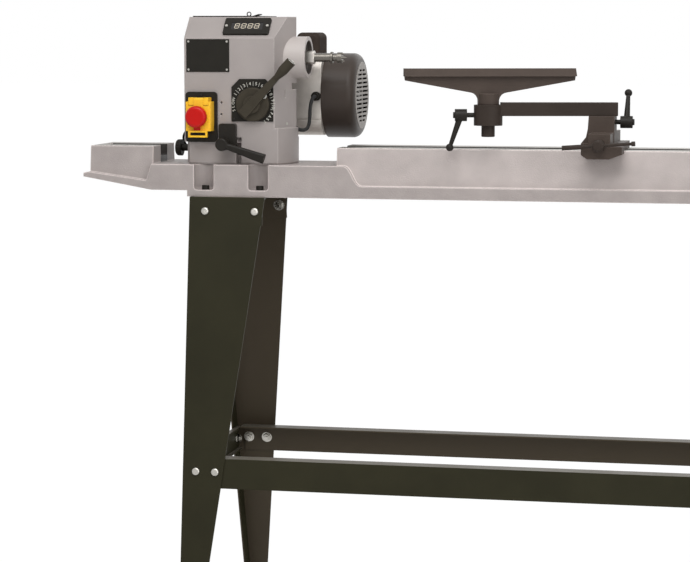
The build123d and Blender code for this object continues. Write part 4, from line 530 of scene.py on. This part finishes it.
class Finish:
    """A material with its Principled shader, filled by the finishes below."""

    def __init__(self, name, rough, metal=0.0, specular=0.5):
        self.material = bpy.data.materials.new(name)
        self.material.use_nodes = True
        self.tree = self.material.node_tree
        self.shader = self.tree.nodes["Principled BSDF"]
        self.shader.inputs["Roughness"].default_value = rough
        self.shader.inputs["Metallic"].default_value = metal
        self.shader.inputs["Specular IOR Level"].default_value = specular

    def link(self, socket, label):
        """A socket led to one of the shader's inputs."""
        self.tree.links.new(socket, self.shader.inputs[label])

    def place(self):
        """X, Y and Z of the point on the surface."""
        return put(self.tree, "SeparateXYZ", {0: put(self.tree, "TexCoord").outputs["Object"]}).outputs

    def facing(self):
        """X, Y and Z of the surface's normal."""
        return put(self.tree, "SeparateXYZ", {0: put(self.tree, "NewGeometry").outputs["Normal"]}).outputs

    def mix(self, share, first, second, blend="MIX"):
        """Colour between two colours or sockets by a share that varies over the surface."""
        sockets = {"Factor": share, 6: first, 7: second}
        return put(self.tree, "Mix", sockets, data_type="RGBA", blend_type=blend).outputs[2]

    def range(self, value, low, high):
        """Value from 0 to 1 spread between two numbers."""
        return put(self.tree, "MapRange", {"Value": value, "To Min": low, "To Max": high}).outputs["Result"]

    def between(self, value, low, high):
        """1 where a value lies between two numbers, and 0 elsewhere."""
        sockets = {0: value, 1: (low + high) / 2, 2: (high - low) / 2}
        return put(self.tree, "Math", sockets, operation="COMPARE").outputs[0]

    def both(self, first, second, operation="MULTIPLY"):
        """Two masks or values as one: their product, or another operation."""
        return put(self.tree, "Math", {0: first, 1: second}, operation=operation).outputs[0]

    def bump(self, height, depth, normal):
        """Normal of a height, over another normal."""
        node = put(self.tree, "Bump", {"Height": height, "Normal": normal, "Distance": depth})
        self.link(node.outputs["Normal"], "Normal")


class Skin(NamedTuple):
    """Gloss, grain and wear of a paint or moulding, with edges lightened as wear and painted highlight;
    depth and edge_width are in millimetres.
    """

    rough: float
    fine_scale: float
    mottle_scale: float
    depth: float
    variation: float
    edge_width: float
    edge_share: float
    specular: float


# Skins by name, each in the order of the fields above
SKINS = {
    "powder_coat": Skin(0.42, 1400, 14, 0.12, 0.10, 1.2, 1.8, 0.12),
    "sand_casting": Skin(0.44, 520, 26, 0.5, 0.085, 3.8, 2.3, 0.4),
    "smooth_casting": Skin(0.40, 800, 20, 0.18, 0.045, 2.4, 1.7, 0.42),
    "rest_paint": Skin(0.45, 700, 30, 0.3, 0.08, 1.6, 1.7, 0.12),
    "satin_paint": Skin(0.36, 900, 18, 0.10, 0.06, 1.5, 1.5, 0.2),
    "dull_plastic": Skin(0.48, 1600, 40, 0.10, 0.10, 1.0, 1.9, 0.12),
    "dry_plastic": Skin(0.66, 1600, 40, 0.10, 0.10, 1.0, 1.9, 0.02),
    "bright_plastic": Skin(0.33, 500, 22, 0.06, 0.05, 0.9, 1.12, 0.25),
    "black_oxide": Skin(0.38, 1100, 45, 0.12, 0.14, 1.0, 2.4, 0.16),
    "rubber": Skin(0.62, 1200, 40, 0.12, 0.12, 0.8, 1.5, 0.12),
}

# How far the roughness of a skin goes to either side
GLOSS_SPREAD = 0.06


def painted(name, rgb, kind):
    """Paint or moulding: mottled colour, edges lightened as wear and painted highlight, uneven gloss and a
    fine skin.
    """
    skin = SKINS[kind]
    made = Finish(name, skin.rough, specular=skin.specular)
    grain = place_group(made.tree, "skin_grain", fine_scale=skin.fine_scale, mottle_scale=skin.mottle_scale)
    edges = place_group(made.tree, "soft_edges", width=skin.edge_width * MM)
    ground = made.mix(grain["Shade"], shaded(rgb, 1 - skin.variation), shaded(rgb, 1 + skin.variation))
    # Partly wear, partly painted highlight: edges get a lighter colour
    worn_and_highlit = made.mix(edges["Edge"], ground, shaded(rgb, skin.edge_share))
    made.link(worn_and_highlit, "Base Color")
    made.link(made.range(grain["Shade"], skin.rough - GLOSS_SPREAD, skin.rough + GLOSS_SPREAD), "Roughness")
    made.bump(grain["Height"], skin.depth * MM, edges["Normal"])
    return made, worn_and_highlit


def plain_coat(name, rgb, kind):
    """Paint or moulding in one colour."""
    return painted(name, rgb, kind)[0].material


def stand_paint(colours):
    """Powder coat over folded sheet, with folds lightened as wear and painted highlight, inside faces a
    lighter brown as painted bounce light, and a painted sheen where it faces up.
    """
    made, worn_and_highlit = painted("stand_paint", colours.stand, "powder_coat")
    facing = made.facing()
    outward = made.both(facing["Y"], made.place()["Y"])
    inward = made.both(outward, INWARD, "LESS_THAN")
    # Painted light: inside faces get a lighter brown for light bounced onto them
    coat = made.mix(inward, worn_and_highlit, (*colours.inside, 1.0))
    # Painted highlight: faces that face up get a lighter sheen
    upward = made.both(facing["Z"], UPWARD, "GREATER_THAN")
    made.link(made.mix(upward, coat, (*colours.top_sheen, 1.0)), "Base Color")
    return made.material


def bed_paint(colours):
    """Thick paint over a sand casting, with ground ways of bare metal, a painted shade in the slots, and a
    painted highlight on the web under the ways.
    """
    made, worn_and_highlit = painted("bed_paint", colours.bed, "sand_casting")
    x, y, z = made.place()
    raised, long, under = (made.between(x, *along_bed(span)) for span in (RAISED_SLOT, LONG_SLOT, WEB))
    in_slot = made.between(y, -SLOT_HALF * MM, SLOT_HALF * MM)
    slot = made.both(made.both(raised, long, "MAXIMUM"), in_slot)
    web = made.both(under, made.between(y, -WEB_HALF * MM, WEB_HALF * MM))
    # Painted highlight: the web under the ways is painted lighter
    web_lit = made.mix(web, worn_and_highlit, (WEB_PAINTED_LIGHT, WEB_PAINTED_LIGHT, WEB_PAINTED_LIGHT, 1.0), "MULTIPLY")
    level = made.both(made.facing()["Z"], LEVEL, "GREATER_THAN")
    bare = made.both(level, made.both(z, way_top - WAY_SKIN * MM, "GREATER_THAN"))
    # Painted shade: the slot is painted dark
    slot_shade = made.mix(slot, web_lit, (*colours.slot_shade, 1.0))
    made.link(made.mix(bare, slot_shade, (*colours.steel, 1.0)), "Base Color")
    made.link(made.range(bare, 0.0, 0.9), "Metallic")
    return made.material


def head_paint(colours):
    """Smoother paint of both heads, with a painted highlight on the spindle's boss and a painted shade in
    its recess.
    """
    made, worn_and_highlit = painted("head_paint", colours.head, "smooth_casting")
    x, y, z = made.place()
    along = made.between(x, *along_bed(BOSS))
    height = made.both(z, spindle_axis[2], "SUBTRACT")
    square = made.both(made.both(y, y), made.both(height, height), "ADD")
    boss_highlight_area = made.both(along, made.both(square, (BOSS_RADIUS * MM) ** 2, "LESS_THAN"))
    recess_shade_area = made.both(along, made.both(square, (RECESS_RADIUS * MM) ** 2, "LESS_THAN"))
    # Painted highlight: the boss is painted lighter
    boss = made.mix(boss_highlight_area, worn_and_highlit, (*colours.boss, 1.0))
    # Painted shade: the recess in the boss is painted dark
    made.link(made.mix(recess_shade_area, boss, (*colours.recess, 1.0)), "Base Color")
    return made.material


def cover_paint(colours):
    """Satin paint of the fan cover, with a lighter grille in its end."""
    made, worn_and_highlit = painted("cover_paint", colours.cover, "satin_paint")
    at_end = made.both(made.place()["X"], cover_end - GRILLE_DEPTH * MM, "GREATER_THAN")
    made.link(made.mix(at_end, worn_and_highlit, (*colours.grille, 1.0)), "Base Color")
    return made.material


def bare_metal(name, rgb, rough):
    """Turned steel: rings of tool marks about the spindle's axis, and edges lightened as wear and painted
    highlight.
    """
    made = Finish(name, rough, metal=1.0)
    _, axis_y, axis_z = spindle_axis
    marks = place_group(made.tree, "turned_marks", axis_y=axis_y, axis_z=axis_z, scale=1500.0)
    skin = place_group(made.tree, "skin_grain", fine_scale=900, mottle_scale=50)
    edges = place_group(made.tree, "soft_edges", width=0.8 * MM)
    ground = made.mix(marks["Height"], shaded(rgb, 0.82), shaded(rgb, 1.12))
    # Partly wear, partly painted highlight: edges get a lighter colour
    worn_and_highlit = made.mix(edges["Edge"], ground, shaded(rgb, 1.3))
    made.link(worn_and_highlit, "Base Color")
    made.link(made.range(skin["Shade"], rough - 0.08, rough + 0.1), "Roughness")
    made.bump(marks["Height"], 0.08 * MM, edges["Normal"])
    return made, worn_and_highlit


def spindle_metal(colours):
    """Turned steel of the spindle, with a painted highlight on the collar behind its nose."""
    made, worn_and_highlit = bare_metal("spindle_steel", colours.nose, 0.28)
    collar = made.between(made.place()["X"], *along_bed(COLLAR))
    # Painted highlight: the collar is painted much lighter
    made.link(made.mix(collar, worn_and_highlit, (*colours.collar, 1.0)), "Base Color")
    return made.material


def plated(name, rgb, rough, fine, metal=1.0):
    """Plated or cast metal: fine grain, patchy gloss, and edges lightened as wear and painted highlight."""
    made = Finish(name, rough, metal=metal)
    skin = place_group(made.tree, "skin_grain", fine_scale=fine, mottle_scale=60)
    edges = place_group(made.tree, "soft_edges", width=0.8 * MM)
    ground = made.mix(skin["Shade"], shaded(rgb, 0.88), shaded(rgb, 1.08))
    # Partly wear, partly painted highlight: edges get a lighter colour
    made.link(made.mix(edges["Edge"], ground, shaded(rgb, 1.25)), "Base Color")
    made.link(made.range(skin["Shade"], rough - 0.07, rough + 0.09), "Roughness")
    made.bump(skin["Height"], 0.12 * MM, edges["Normal"])
    return made.material


def screw_metal(colours):
    """Plated screws, blackened on the dial and on the switch plate."""
    made = Finish("screw_metal", 0.3, metal=0.5)
    skin = place_group(made.tree, "skin_grain", fine_scale=1300, mottle_scale=60)
    _, y, z = made.place()
    low = made.between(z, way_top, way_top + CONTROLS_TOP * MM)
    front = made.between(y, *(dial_face + np.array(CONTROLS_DEPTH) * MM))
    bright = made.mix(skin["Shade"], shaded(colours.zinc, 0.88), shaded(colours.zinc, 1.08))
    made.link(made.mix(made.both(low, front), bright, (*colours.oxide, 1.0)), "Base Color")
    made.link(made.range(skin["Shade"], 0.23, 0.39), "Roughness")
    return made.material


def window_gloss(colours):
    """Dark clear window of the display, faintly uneven."""
    made = Finish("black_gloss", 0.12)
    skin = place_group(made.tree, "skin_grain", fine_scale=200, mottle_scale=30)
    dark = colours.window
    made.link(made.mix(skin["Shade"], shaded(dark, 0.9), shaded(dark, 1.2)), "Base Color")
    made.link(made.range(skin["Shade"], 0.08, 0.16), "Roughness")
    return made.material


def lit_segments(colours):
    """Unlit segments of the display given a painted glow, a little uneven."""
    made = Finish("lit_segments", 0.5)
    skin = place_group(made.tree, "skin_grain", fine_scale=300, mottle_scale=90)
    glow = made.mix(skin["Shade"], shaded(colours.segment_glow, 0.9), shaded(colours.segment_glow, 1.0))
    made.link(glow, "Base Color")
    made.link(glow, "Emission Color")
    # Painted glow: the segments emit light though the display is not lit
    made.shader.inputs["Emission Strength"].default_value = 0.12
    return made.material


def dial_print(colours):
    """White print, slightly rubbed."""
    made = Finish("dial_print", 0.5)
    skin = place_group(made.tree, "skin_grain", fine_scale=600, mottle_scale=150)
    white = colours.print_white
    made.link(made.mix(skin["Shade"], shaded(white, 0.82), shaded(white, 1.0)), "Base Color")
    return made.material


def dress(material, names):
    """One material on each of these nodes."""
    for name in names.split():
        mesh = nodes[name].data
        mesh.materials.clear()
        mesh.materials.append(material)


# Operators, one for each piece or group of like pieces


class LATHE_OT_stand(bpy.types.Operator):
    """Powder coat of the stand, and rubber, bolts, nuts and screws"""

    bl_idname = "lathe.stand"
    bl_label = "Stand"

    def execute(self, context):
        colours = context.scene.lathe_colours
        legs = "leg_front_left leg_rear_left leg_front_right leg_rear_right"
        dress(stand_paint(colours), legs + " long_rails end_rails top_plates")
        dress(plated("zinc", colours.zinc, 0.26, 1300), "stand_bolts frame_nuts")
        dress(screw_metal(colours), "panel_screws")
        dress(plain_coat("black_rubber", colours.rubber, "rubber"), "foot_pads drive_belt")
        return {"FINISHED"}


class LATHE_OT_castings(bpy.types.Operator):
    """Paint of the bed, the heads, the tool rest and the fan cover"""

    bl_idname = "lathe.castings"
    bl_label = "Castings"

    def execute(self, context):
        colours = context.scene.lathe_colours
        dress(bed_paint(colours), "bed")
        dress(head_paint(colours), "headstock tailstock")
        dress(plain_coat("dark_paint", colours.rest, "rest_paint"), "tool_rest rest_base handwheel")
        dress(plain_coat("arm_paint", colours.arm, "rest_paint"), "rest_cam rest_post swing_arm tail_cam")
        dress(cover_paint(colours), "fan_cover")
        return {"FINISHED"}


class LATHE_OT_metal(bpy.types.Operator):
    """Turned steel, cast alloy and blackened steel"""

    bl_idname = "lathe.metal"
    bl_label = "Bare metal"

    def execute(self, context):
        colours = context.scene.lathe_colours
        steel, _ = bare_metal("steel", colours.steel, 0.3)
        dress(steel.material, "quill live_centre ball_bearings")
        nose, _ = bare_metal("nose_steel", colours.nose, 0.28)
        dress(nose.material, "spur_centre")
        dress(spindle_metal(colours), "spindle")
        other = "pivot_post shift_fork rest_clamp tail_clamp motor_rotor"
        dress(plated("plain_steel", colours.steel, 0.34, 900), other)
        alloy = "motor_body spindle_pulley spindle_sliding_pulley motor_pulley motor_sliding_pulley"
        dress(plated("motor_alloy", colours.alloy, 0.45, 600, 0.5), alloy)
        dark = "belt_lid bed_bolts lock_block lock_lever rest_lock arm_lock quill_lock"
        dress(plain_coat("black_steel", colours.oxide, "black_oxide"), dark)
        return {"FINISHED"}


class LATHE_OT_plastics(bpy.types.Operator):
    """Moulded plastic of the controls"""

    bl_idname = "lathe.plastics"
    bl_label = "Plastics"

    def execute(self, context):
        colours = context.scene.lathe_colours
        black = "cable_gland dial_plate display_bezel nameplate switch_plate index_plunger"
        dress(plain_coat("black_plastic", colours.plastic, "dull_plastic"), black)
        dress(plain_coat("lever_plastic", colours.lever, "dull_plastic"), "speed_lever")
        dress(plain_coat("box_plastic", colours.cover, "dry_plastic"), "capacitor_box")
        dress(plain_coat("yellow_plastic", colours.flap, "bright_plastic"), "switch_box stop_flap")
        dress(plain_coat("red_plastic", colours.mushroom, "bright_plastic"), "stop_mushroom stop_button")
        dress(plain_coat("green_plastic", colours.start, "bright_plastic"), "start_button")
        dress(window_gloss(colours), "display_window")
        return {"FINISHED"}


class LATHE_OT_digits(bpy.types.Operator):
    """Seven-segment digits on the display's window"""

    bl_idname = "lathe.digits"
    bl_label = "Display digits"

    def execute(self, context):
        sizes = context.scene.lathe_sizes
        normal = np.array((0, -1, 1)) / 2**0.5
        upward = np.array((0, 1, 1)) / 2**0.5
        across = np.array((1.0, 0, 0))
        centre = middle("display_window")
        centre = centre + normal * (reach("display_window", normal) - centre @ normal)
        half = sizes.segment / 2
        tall = sizes.digit_height / 2 - half
        wide = sizes.digit_width / 2 - half
        bars = [((-wide, z), (wide, z)) for z in (-tall, 0, tall)]
        bars += [((x, z), (x, z + tall)) for x in (-wide, wide) for z in (-tall, 0)]
        points = []
        faces = []
        for digit in range(DIGITS):
            shift = (digit - (DIGITS - 1) / 2) * sizes.digit_pitch
            for start, end in bars:
                outline = self.segment(np.array(start), np.array(end), half)
                slant = outline[:, 0] + DIGIT_LEAN * outline[:, 1] + shift
                flat = centre + slant[:, None] * across + outline[:, 1:] * upward
                solid, sides = prism(flat, normal, DIGIT_RELIEF * MM, sum(len(p) for p in points))
                points.append(solid)
                faces += sides
        segment_glow = lit_segments(context.scene.lathe_colours)
        piece("display_digits", np.vstack(points), faces, "head", segment_glow)
        return {"FINISHED"}

    @staticmethod
    def segment(start, end, half):
        """Six-sided bar from start to end, pointed at both ends, drawn in by a gap."""
        along = (end - start) / np.linalg.norm(end - start)
        side = np.array((-along[1], along[0])) * half
        first = start + along * SEGMENT_GAP * MM
        last = end - along * SEGMENT_GAP * MM
        inner = first + along * half
        outer = last - along * half
        return np.array((first, inner - side, outer - side, last, outer + side, inner + side))


class LATHE_OT_dial(bpy.types.Operator):
    """Numerals, words and ticks round the speed dial"""

    bl_idname = "lathe.dial"
    bl_label = "Dial print"

    def execute(self, context):
        sizes = context.scene.lathe_sizes
        first = radians(FIRST_NUMERAL)
        marks = [(str(n + 1), first - n * sizes.print_step, 1.0) for n in range(NUMERALS)]
        for word, start, step in WORDS:
            marks += [(letter, radians(start + step * n), WORD_SHARE) for n, letter in enumerate(word)]
        points = []
        faces = []
        count = 0
        for text, angle, share in marks:
            flat, sides = self.letters(text, sizes.print_height * share)
            spot = flat + np.array((0, sizes.print_radius))
            points.append(self.stand(spot, angle - pi / 2))
            faces += [[i + count for i in side] for side in sides]
            count += len(flat)
        low, high = TICK_SPAN
        outline = ((-TICK_HALF, low), (TICK_HALF, low), (TICK_HALF, high), (-TICK_HALF, high))
        tick = np.array(outline) * MM + np.array((0, sizes.print_radius))
        for n in range(NUMERALS):
            angle = first - (n + 0.5) * sizes.print_step
            points.append(self.stand(tick, angle - pi / 2))
            faces.append(list(range(count, count + len(tick))))
            count += len(tick)
        white = dial_print(context.scene.lathe_colours)
        made = piece("dial_print", np.vstack(points), faces, "head", white)
        thick = made.modifiers.new("thickness", "SOLIDIFY")
        thick.thickness = PRINT_RELIEF * MM
        thick.offset = 1.0
        return {"FINISHED"}

    @staticmethod
    def letters(text, height):
        """Flat mesh of a word, centred across and standing on its base line."""
        curve = bpy.data.curves.new("letters", "FONT")
        curve.body = text
        curve.size = height * CAPITAL_SHARE
        curve.align_x = "CENTER"
        curve.resolution_u = 4
        holder = bpy.data.objects.new("letters", curve)
        bpy.context.scene.collection.objects.link(holder)
        ready = holder.evaluated_get(bpy.context.evaluated_depsgraph_get())
        mesh = bpy.data.meshes.new_from_object(ready)
        flat = np.array([v.co[:2] for v in mesh.vertices])
        sides = [list(face.vertices) for face in mesh.polygons]
        bpy.data.objects.remove(holder)
        bpy.data.curves.remove(curve)
        bpy.data.meshes.remove(mesh)
        return flat, sides

    @staticmethod
    def stand(flat, turn):
        """Points of a flat drawing, turned about the dial's hub and stood on the dial's face."""
        x = flat[:, 0] * cos(turn) - flat[:, 1] * sin(turn)
        z = flat[:, 0] * sin(turn) + flat[:, 1] * cos(turn)
        face = np.full(len(flat), dial_face - PRINT_GAP * MM)
        return np.stack((dial_hub[0] + x, face, dial_hub[2] + z), axis=1)


class LATHE_OT_lever_trim(bpy.types.Operator):
    """Screw in the speed lever's disc, and a bright ring on the end of its grip as a painted highlight"""

    bl_idname = "lathe.lever_trim"
    bl_label = "Lever trim"

    def execute(self, context):
        zinc = bpy.data.materials["zinc"]
        outward = np.array((0.0, -1.0, 0.0))
        across = np.array((1.0, 0.0, 0.0))
        hub = np.array((dial_hub[0], dial_face, dial_hub[2]))
        points, faces = turned(SCREW_PROFILE, hub + np.array(LEVER_SCREW) * MM, outward, across)
        piece("lever_screw", points, faces, "speed_handle", zinc)
        lean = radians(LEVER_ANGLE)
        along = np.array((cos(lean), 0, sin(lean)))
        tip = hub + (outward * GRIP_STAND + along * GRIP_REACH) * MM
        # Painted highlight: a thin bright ring stands for the light caught by the rounded end of the grip
        turn = np.linspace(0, 2 * pi, HIGHLIGHT_RING_POINTS, endpoint=False)[:, None]
        circle = np.cos(turn) * outward + np.sin(turn) * np.cross(along, outward)
        ring = tip + circle * HIGHLIGHT_RING_RADIUS * MM
        points, faces = tube(np.vstack((ring, ring[:1])), HIGHLIGHT_RING_WIRE * MM, HIGHLIGHT_RING_SIDES)
        piece("grip_ring", points, faces, "speed_handle", zinc)
        return {"FINISHED"}


class LATHE_OT_hoop(bpy.types.Operator):
    """Bent wire round the index plunger: half an ellipse out of the head's side, led behind the knob"""

    bl_idname = "lathe.hoop"
    bl_label = "Index hoop"

    def execute(self, context):
        knob_low, knob_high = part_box("index_plunger")
        shaft = (knob_low.z + knob_high.z) / 2
        turn = np.linspace(0, pi, HOOP_POINTS)
        x = head_side + (HOOP_SEAT - HOOP_BULGE * np.sin(turn)) * MM
        y = HOOP_BACK * MM * (1 - np.cos(turn))
        z = shaft + (HOOP_MIDDLE + HOOP_HALF * np.cos(turn)) * MM
        path = np.stack((x, y, z), axis=1)
        points, faces = tube(path, context.scene.lathe_sizes.hoop_wire / 2)
        black = nodes["index_plunger"].data.materials[0]
        made = piece("index_hoop", points, faces, "head", black)
        made.data.polygons.foreach_set("use_smooth", np.ones(len(made.data.polygons), bool))
        return {"FINISHED"}


class LATHE_OT_lead(bpy.types.Operator):
    """Motor lead, from its gland to the head's side"""

    bl_idname = "lathe.lead"
    bl_label = "Motor lead"

    def execute(self, context):
        sizes = context.scene.lathe_sizes
        route = np.array((post_x, 0, way_top)) + np.array(LEAD_ROUTE) * MM
        curve = bpy.data.curves.new("motor_cord", "CURVE")
        curve.dimensions = "3D"
        curve.bevel_depth = sizes.lead / 2
        curve.bevel_resolution = 5
        curve.use_fill_caps = True
        spline = curve.splines.new("NURBS")
        spline.points.add(len(route) - 1)
        for point, place in zip(spline.points, route):
            point.co = (*place, 1.0)
        spline.order_u = 3
        spline.use_endpoint_u = True
        spline.resolution_u = 10
        made = bpy.data.objects.new("motor_cord", curve)
        context.scene.collection.objects.link(made)
        curve.materials.append(bpy.data.materials["black_rubber"])
        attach(made, "head")
        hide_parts("motor_lead")
        return {"FINISHED"}


class LATHE_OT_stage(bpy.types.Operator):
    """Camera, lamps, world and floor"""

    bl_idname = "lathe.stage"
    bl_label = "Stage"

    def execute(self, context):
        scene = context.scene
        stage = scene.lathe_stage
        scene.view_settings.view_transform = "Standard"
        self.camera(scene, stage)
        self.world(scene, stage)
        self.floor(scene, stage)
        for name, (place, width) in LAMPS.items():
            self.lamp(name, Vector(place), width, getattr(stage, name))
        return {"FINISHED"}

    @staticmethod
    def camera(scene, stage):
        """Camera at the photograph's place, looking along its yaw and pitch."""
        data = bpy.data.cameras.new("camera")
        data.sensor_width = SENSOR
        data.lens = stage.lens
        data.clip_end = CLIP_END
        made = bpy.data.objects.new("camera", data)
        yaw, pitch = stage.camera_yaw, stage.camera_pitch
        ahead = Vector((-sin(yaw) * cos(pitch), cos(yaw) * cos(pitch), -sin(pitch)))
        made.location = stage.camera_place
        made.rotation_euler = ahead.to_track_quat("-Z", "Y").to_euler()
        scene.collection.objects.link(made)
        scene.camera = made

    @staticmethod
    def seen(tree):
        """1 for rays that show the background: camera, glossy and transmission rays."""
        ray = put(tree, "LightPath").outputs
        shown = ray["Is Camera Ray"]
        for kind in ("Is Glossy Ray", "Is Transmission Ray"):
            shown = put(tree, "Math", {0: shown, 1: ray[kind]}, operation="MAXIMUM").outputs[0]
        return shown

    def world(self, scene, stage):
        """White to the eye and in reflections, and a soft even light on everything."""
        world = bpy.data.worlds.new("studio")
        world.use_nodes = True
        scene.world = world
        tree = world.node_tree
        background = tree.nodes["Background"]
        background.inputs["Color"].default_value = (1, 1, 1, 1)
        strength = put(tree, "MapRange", {"Value": self.seen(tree), "To Min": stage.ambient, "To Max": 1.0})
        tree.links.new(strength.outputs["Result"], background.inputs["Strength"])

    def floor(self, scene, stage):
        """Wide level sheet: a grid of two parameters, x and y, at height 0."""
        spread = np.linspace(-stage.floor_size, stage.floor_size, FLOOR_POINTS)
        x, y = np.meshgrid(spread, spread, indexing="ij")
        points = np.stack((x, y, np.zeros_like(x)), axis=-1).reshape(-1, 3)
        mesh = bpy.data.meshes.new("floor")
        quads = grid_faces(FLOOR_POINTS, FLOOR_POINTS)
        mesh.from_pydata(points.tolist(), [], [list(reversed(quad)) for quad in quads])
        made = bpy.data.objects.new("floor", mesh)
        scene.collection.objects.link(made)
        material = bpy.data.materials.new("floor")
        material.use_nodes = True
        tree = material.node_tree
        paint = tree.nodes["Principled BSDF"]
        paint.inputs["Base Color"].default_value = (FLOOR_GREY, FLOOR_GREY, FLOOR_GREY, 1)
        paint.inputs["Roughness"].default_value = 0.8
        paint.inputs["Specular IOR Level"].default_value = 0.1
        white = put(tree, "Emission", {"Strength": FLOOR_GLOW})
        share = put(tree, "MapRange", {"Value": self.seen(tree), "To Max": FLOOR_WHITE}).outputs["Result"]
        both = put(tree, "MixShader", {0: share, 1: paint.outputs[0], 2: white.outputs[0]})
        tree.links.new(both.outputs[0], tree.nodes["Material Output"].inputs["Surface"])
        mesh.materials.append(material)

    @staticmethod
    def lamp(name, place, width, watts):
        """Square soft box that faces the machine."""
        data = bpy.data.lights.new(name, "AREA")
        data.size = width
        data.energy = watts
        made = bpy.data.objects.new(name, data)
        made.location = place
        made.rotation_euler = (Vector(LAMP_AIM) - place).to_track_quat("-Z", "Y").to_euler()
        bpy.context.scene.collection.objects.link(made)


class LATHE_PT_panel(bpy.types.Panel):
    """Buttons for each group of pieces, with the colours, the sizes and the stage"""

    bl_label = "Wood lathe"
    bl_idname = "LATHE_PT_panel"
    bl_space_type = "VIEW_3D"
    bl_region_type = "UI"
    bl_category = "Lathe"

    def draw(self, context):
        for operator in OPERATORS:
            self.layout.operator(operator.bl_idname)
        scene = context.scene
        for group in (scene.lathe_colours, scene.lathe_sizes, scene.lathe_stage):
            box = self.layout.box()
            for name in group.__annotations__:
                box.prop(group, name)


OPERATORS = (
    LATHE_OT_stage,
    LATHE_OT_stand,
    LATHE_OT_castings,
    LATHE_OT_metal,
    LATHE_OT_plastics,
    LATHE_OT_lead,
    LATHE_OT_digits,
    LATHE_OT_dial,
    LATHE_OT_lever_trim,
    LATHE_OT_hoop,
)
GROUPS = (LatheColours, LatheSizes, LatheStage)


def register():
    for kind in (*GROUPS, *OPERATORS, LATHE_PT_panel):
        bpy.utils.register_class(kind)
    bpy.types.Scene.lathe_colours = PointerProperty(type=LatheColours)
    bpy.types.Scene.lathe_sizes = PointerProperty(type=LatheSizes)
    bpy.types.Scene.lathe_stage = PointerProperty(type=LatheStage)


def unregister():
    del bpy.types.Scene.lathe_stage
    del bpy.types.Scene.lathe_sizes
    del bpy.types.Scene.lathe_colours
    for kind in reversed((*GROUPS, *OPERATORS, LATHE_PT_panel)):
        bpy.utils.unregister_class(kind)


def main():
    """Builds everything in order."""
    register()
    for operator in OPERATORS:
        family, name = operator.bl_idname.split(".")
        getattr(getattr(bpy.ops, family), name)()


if __name__ == "__main__":
    main()
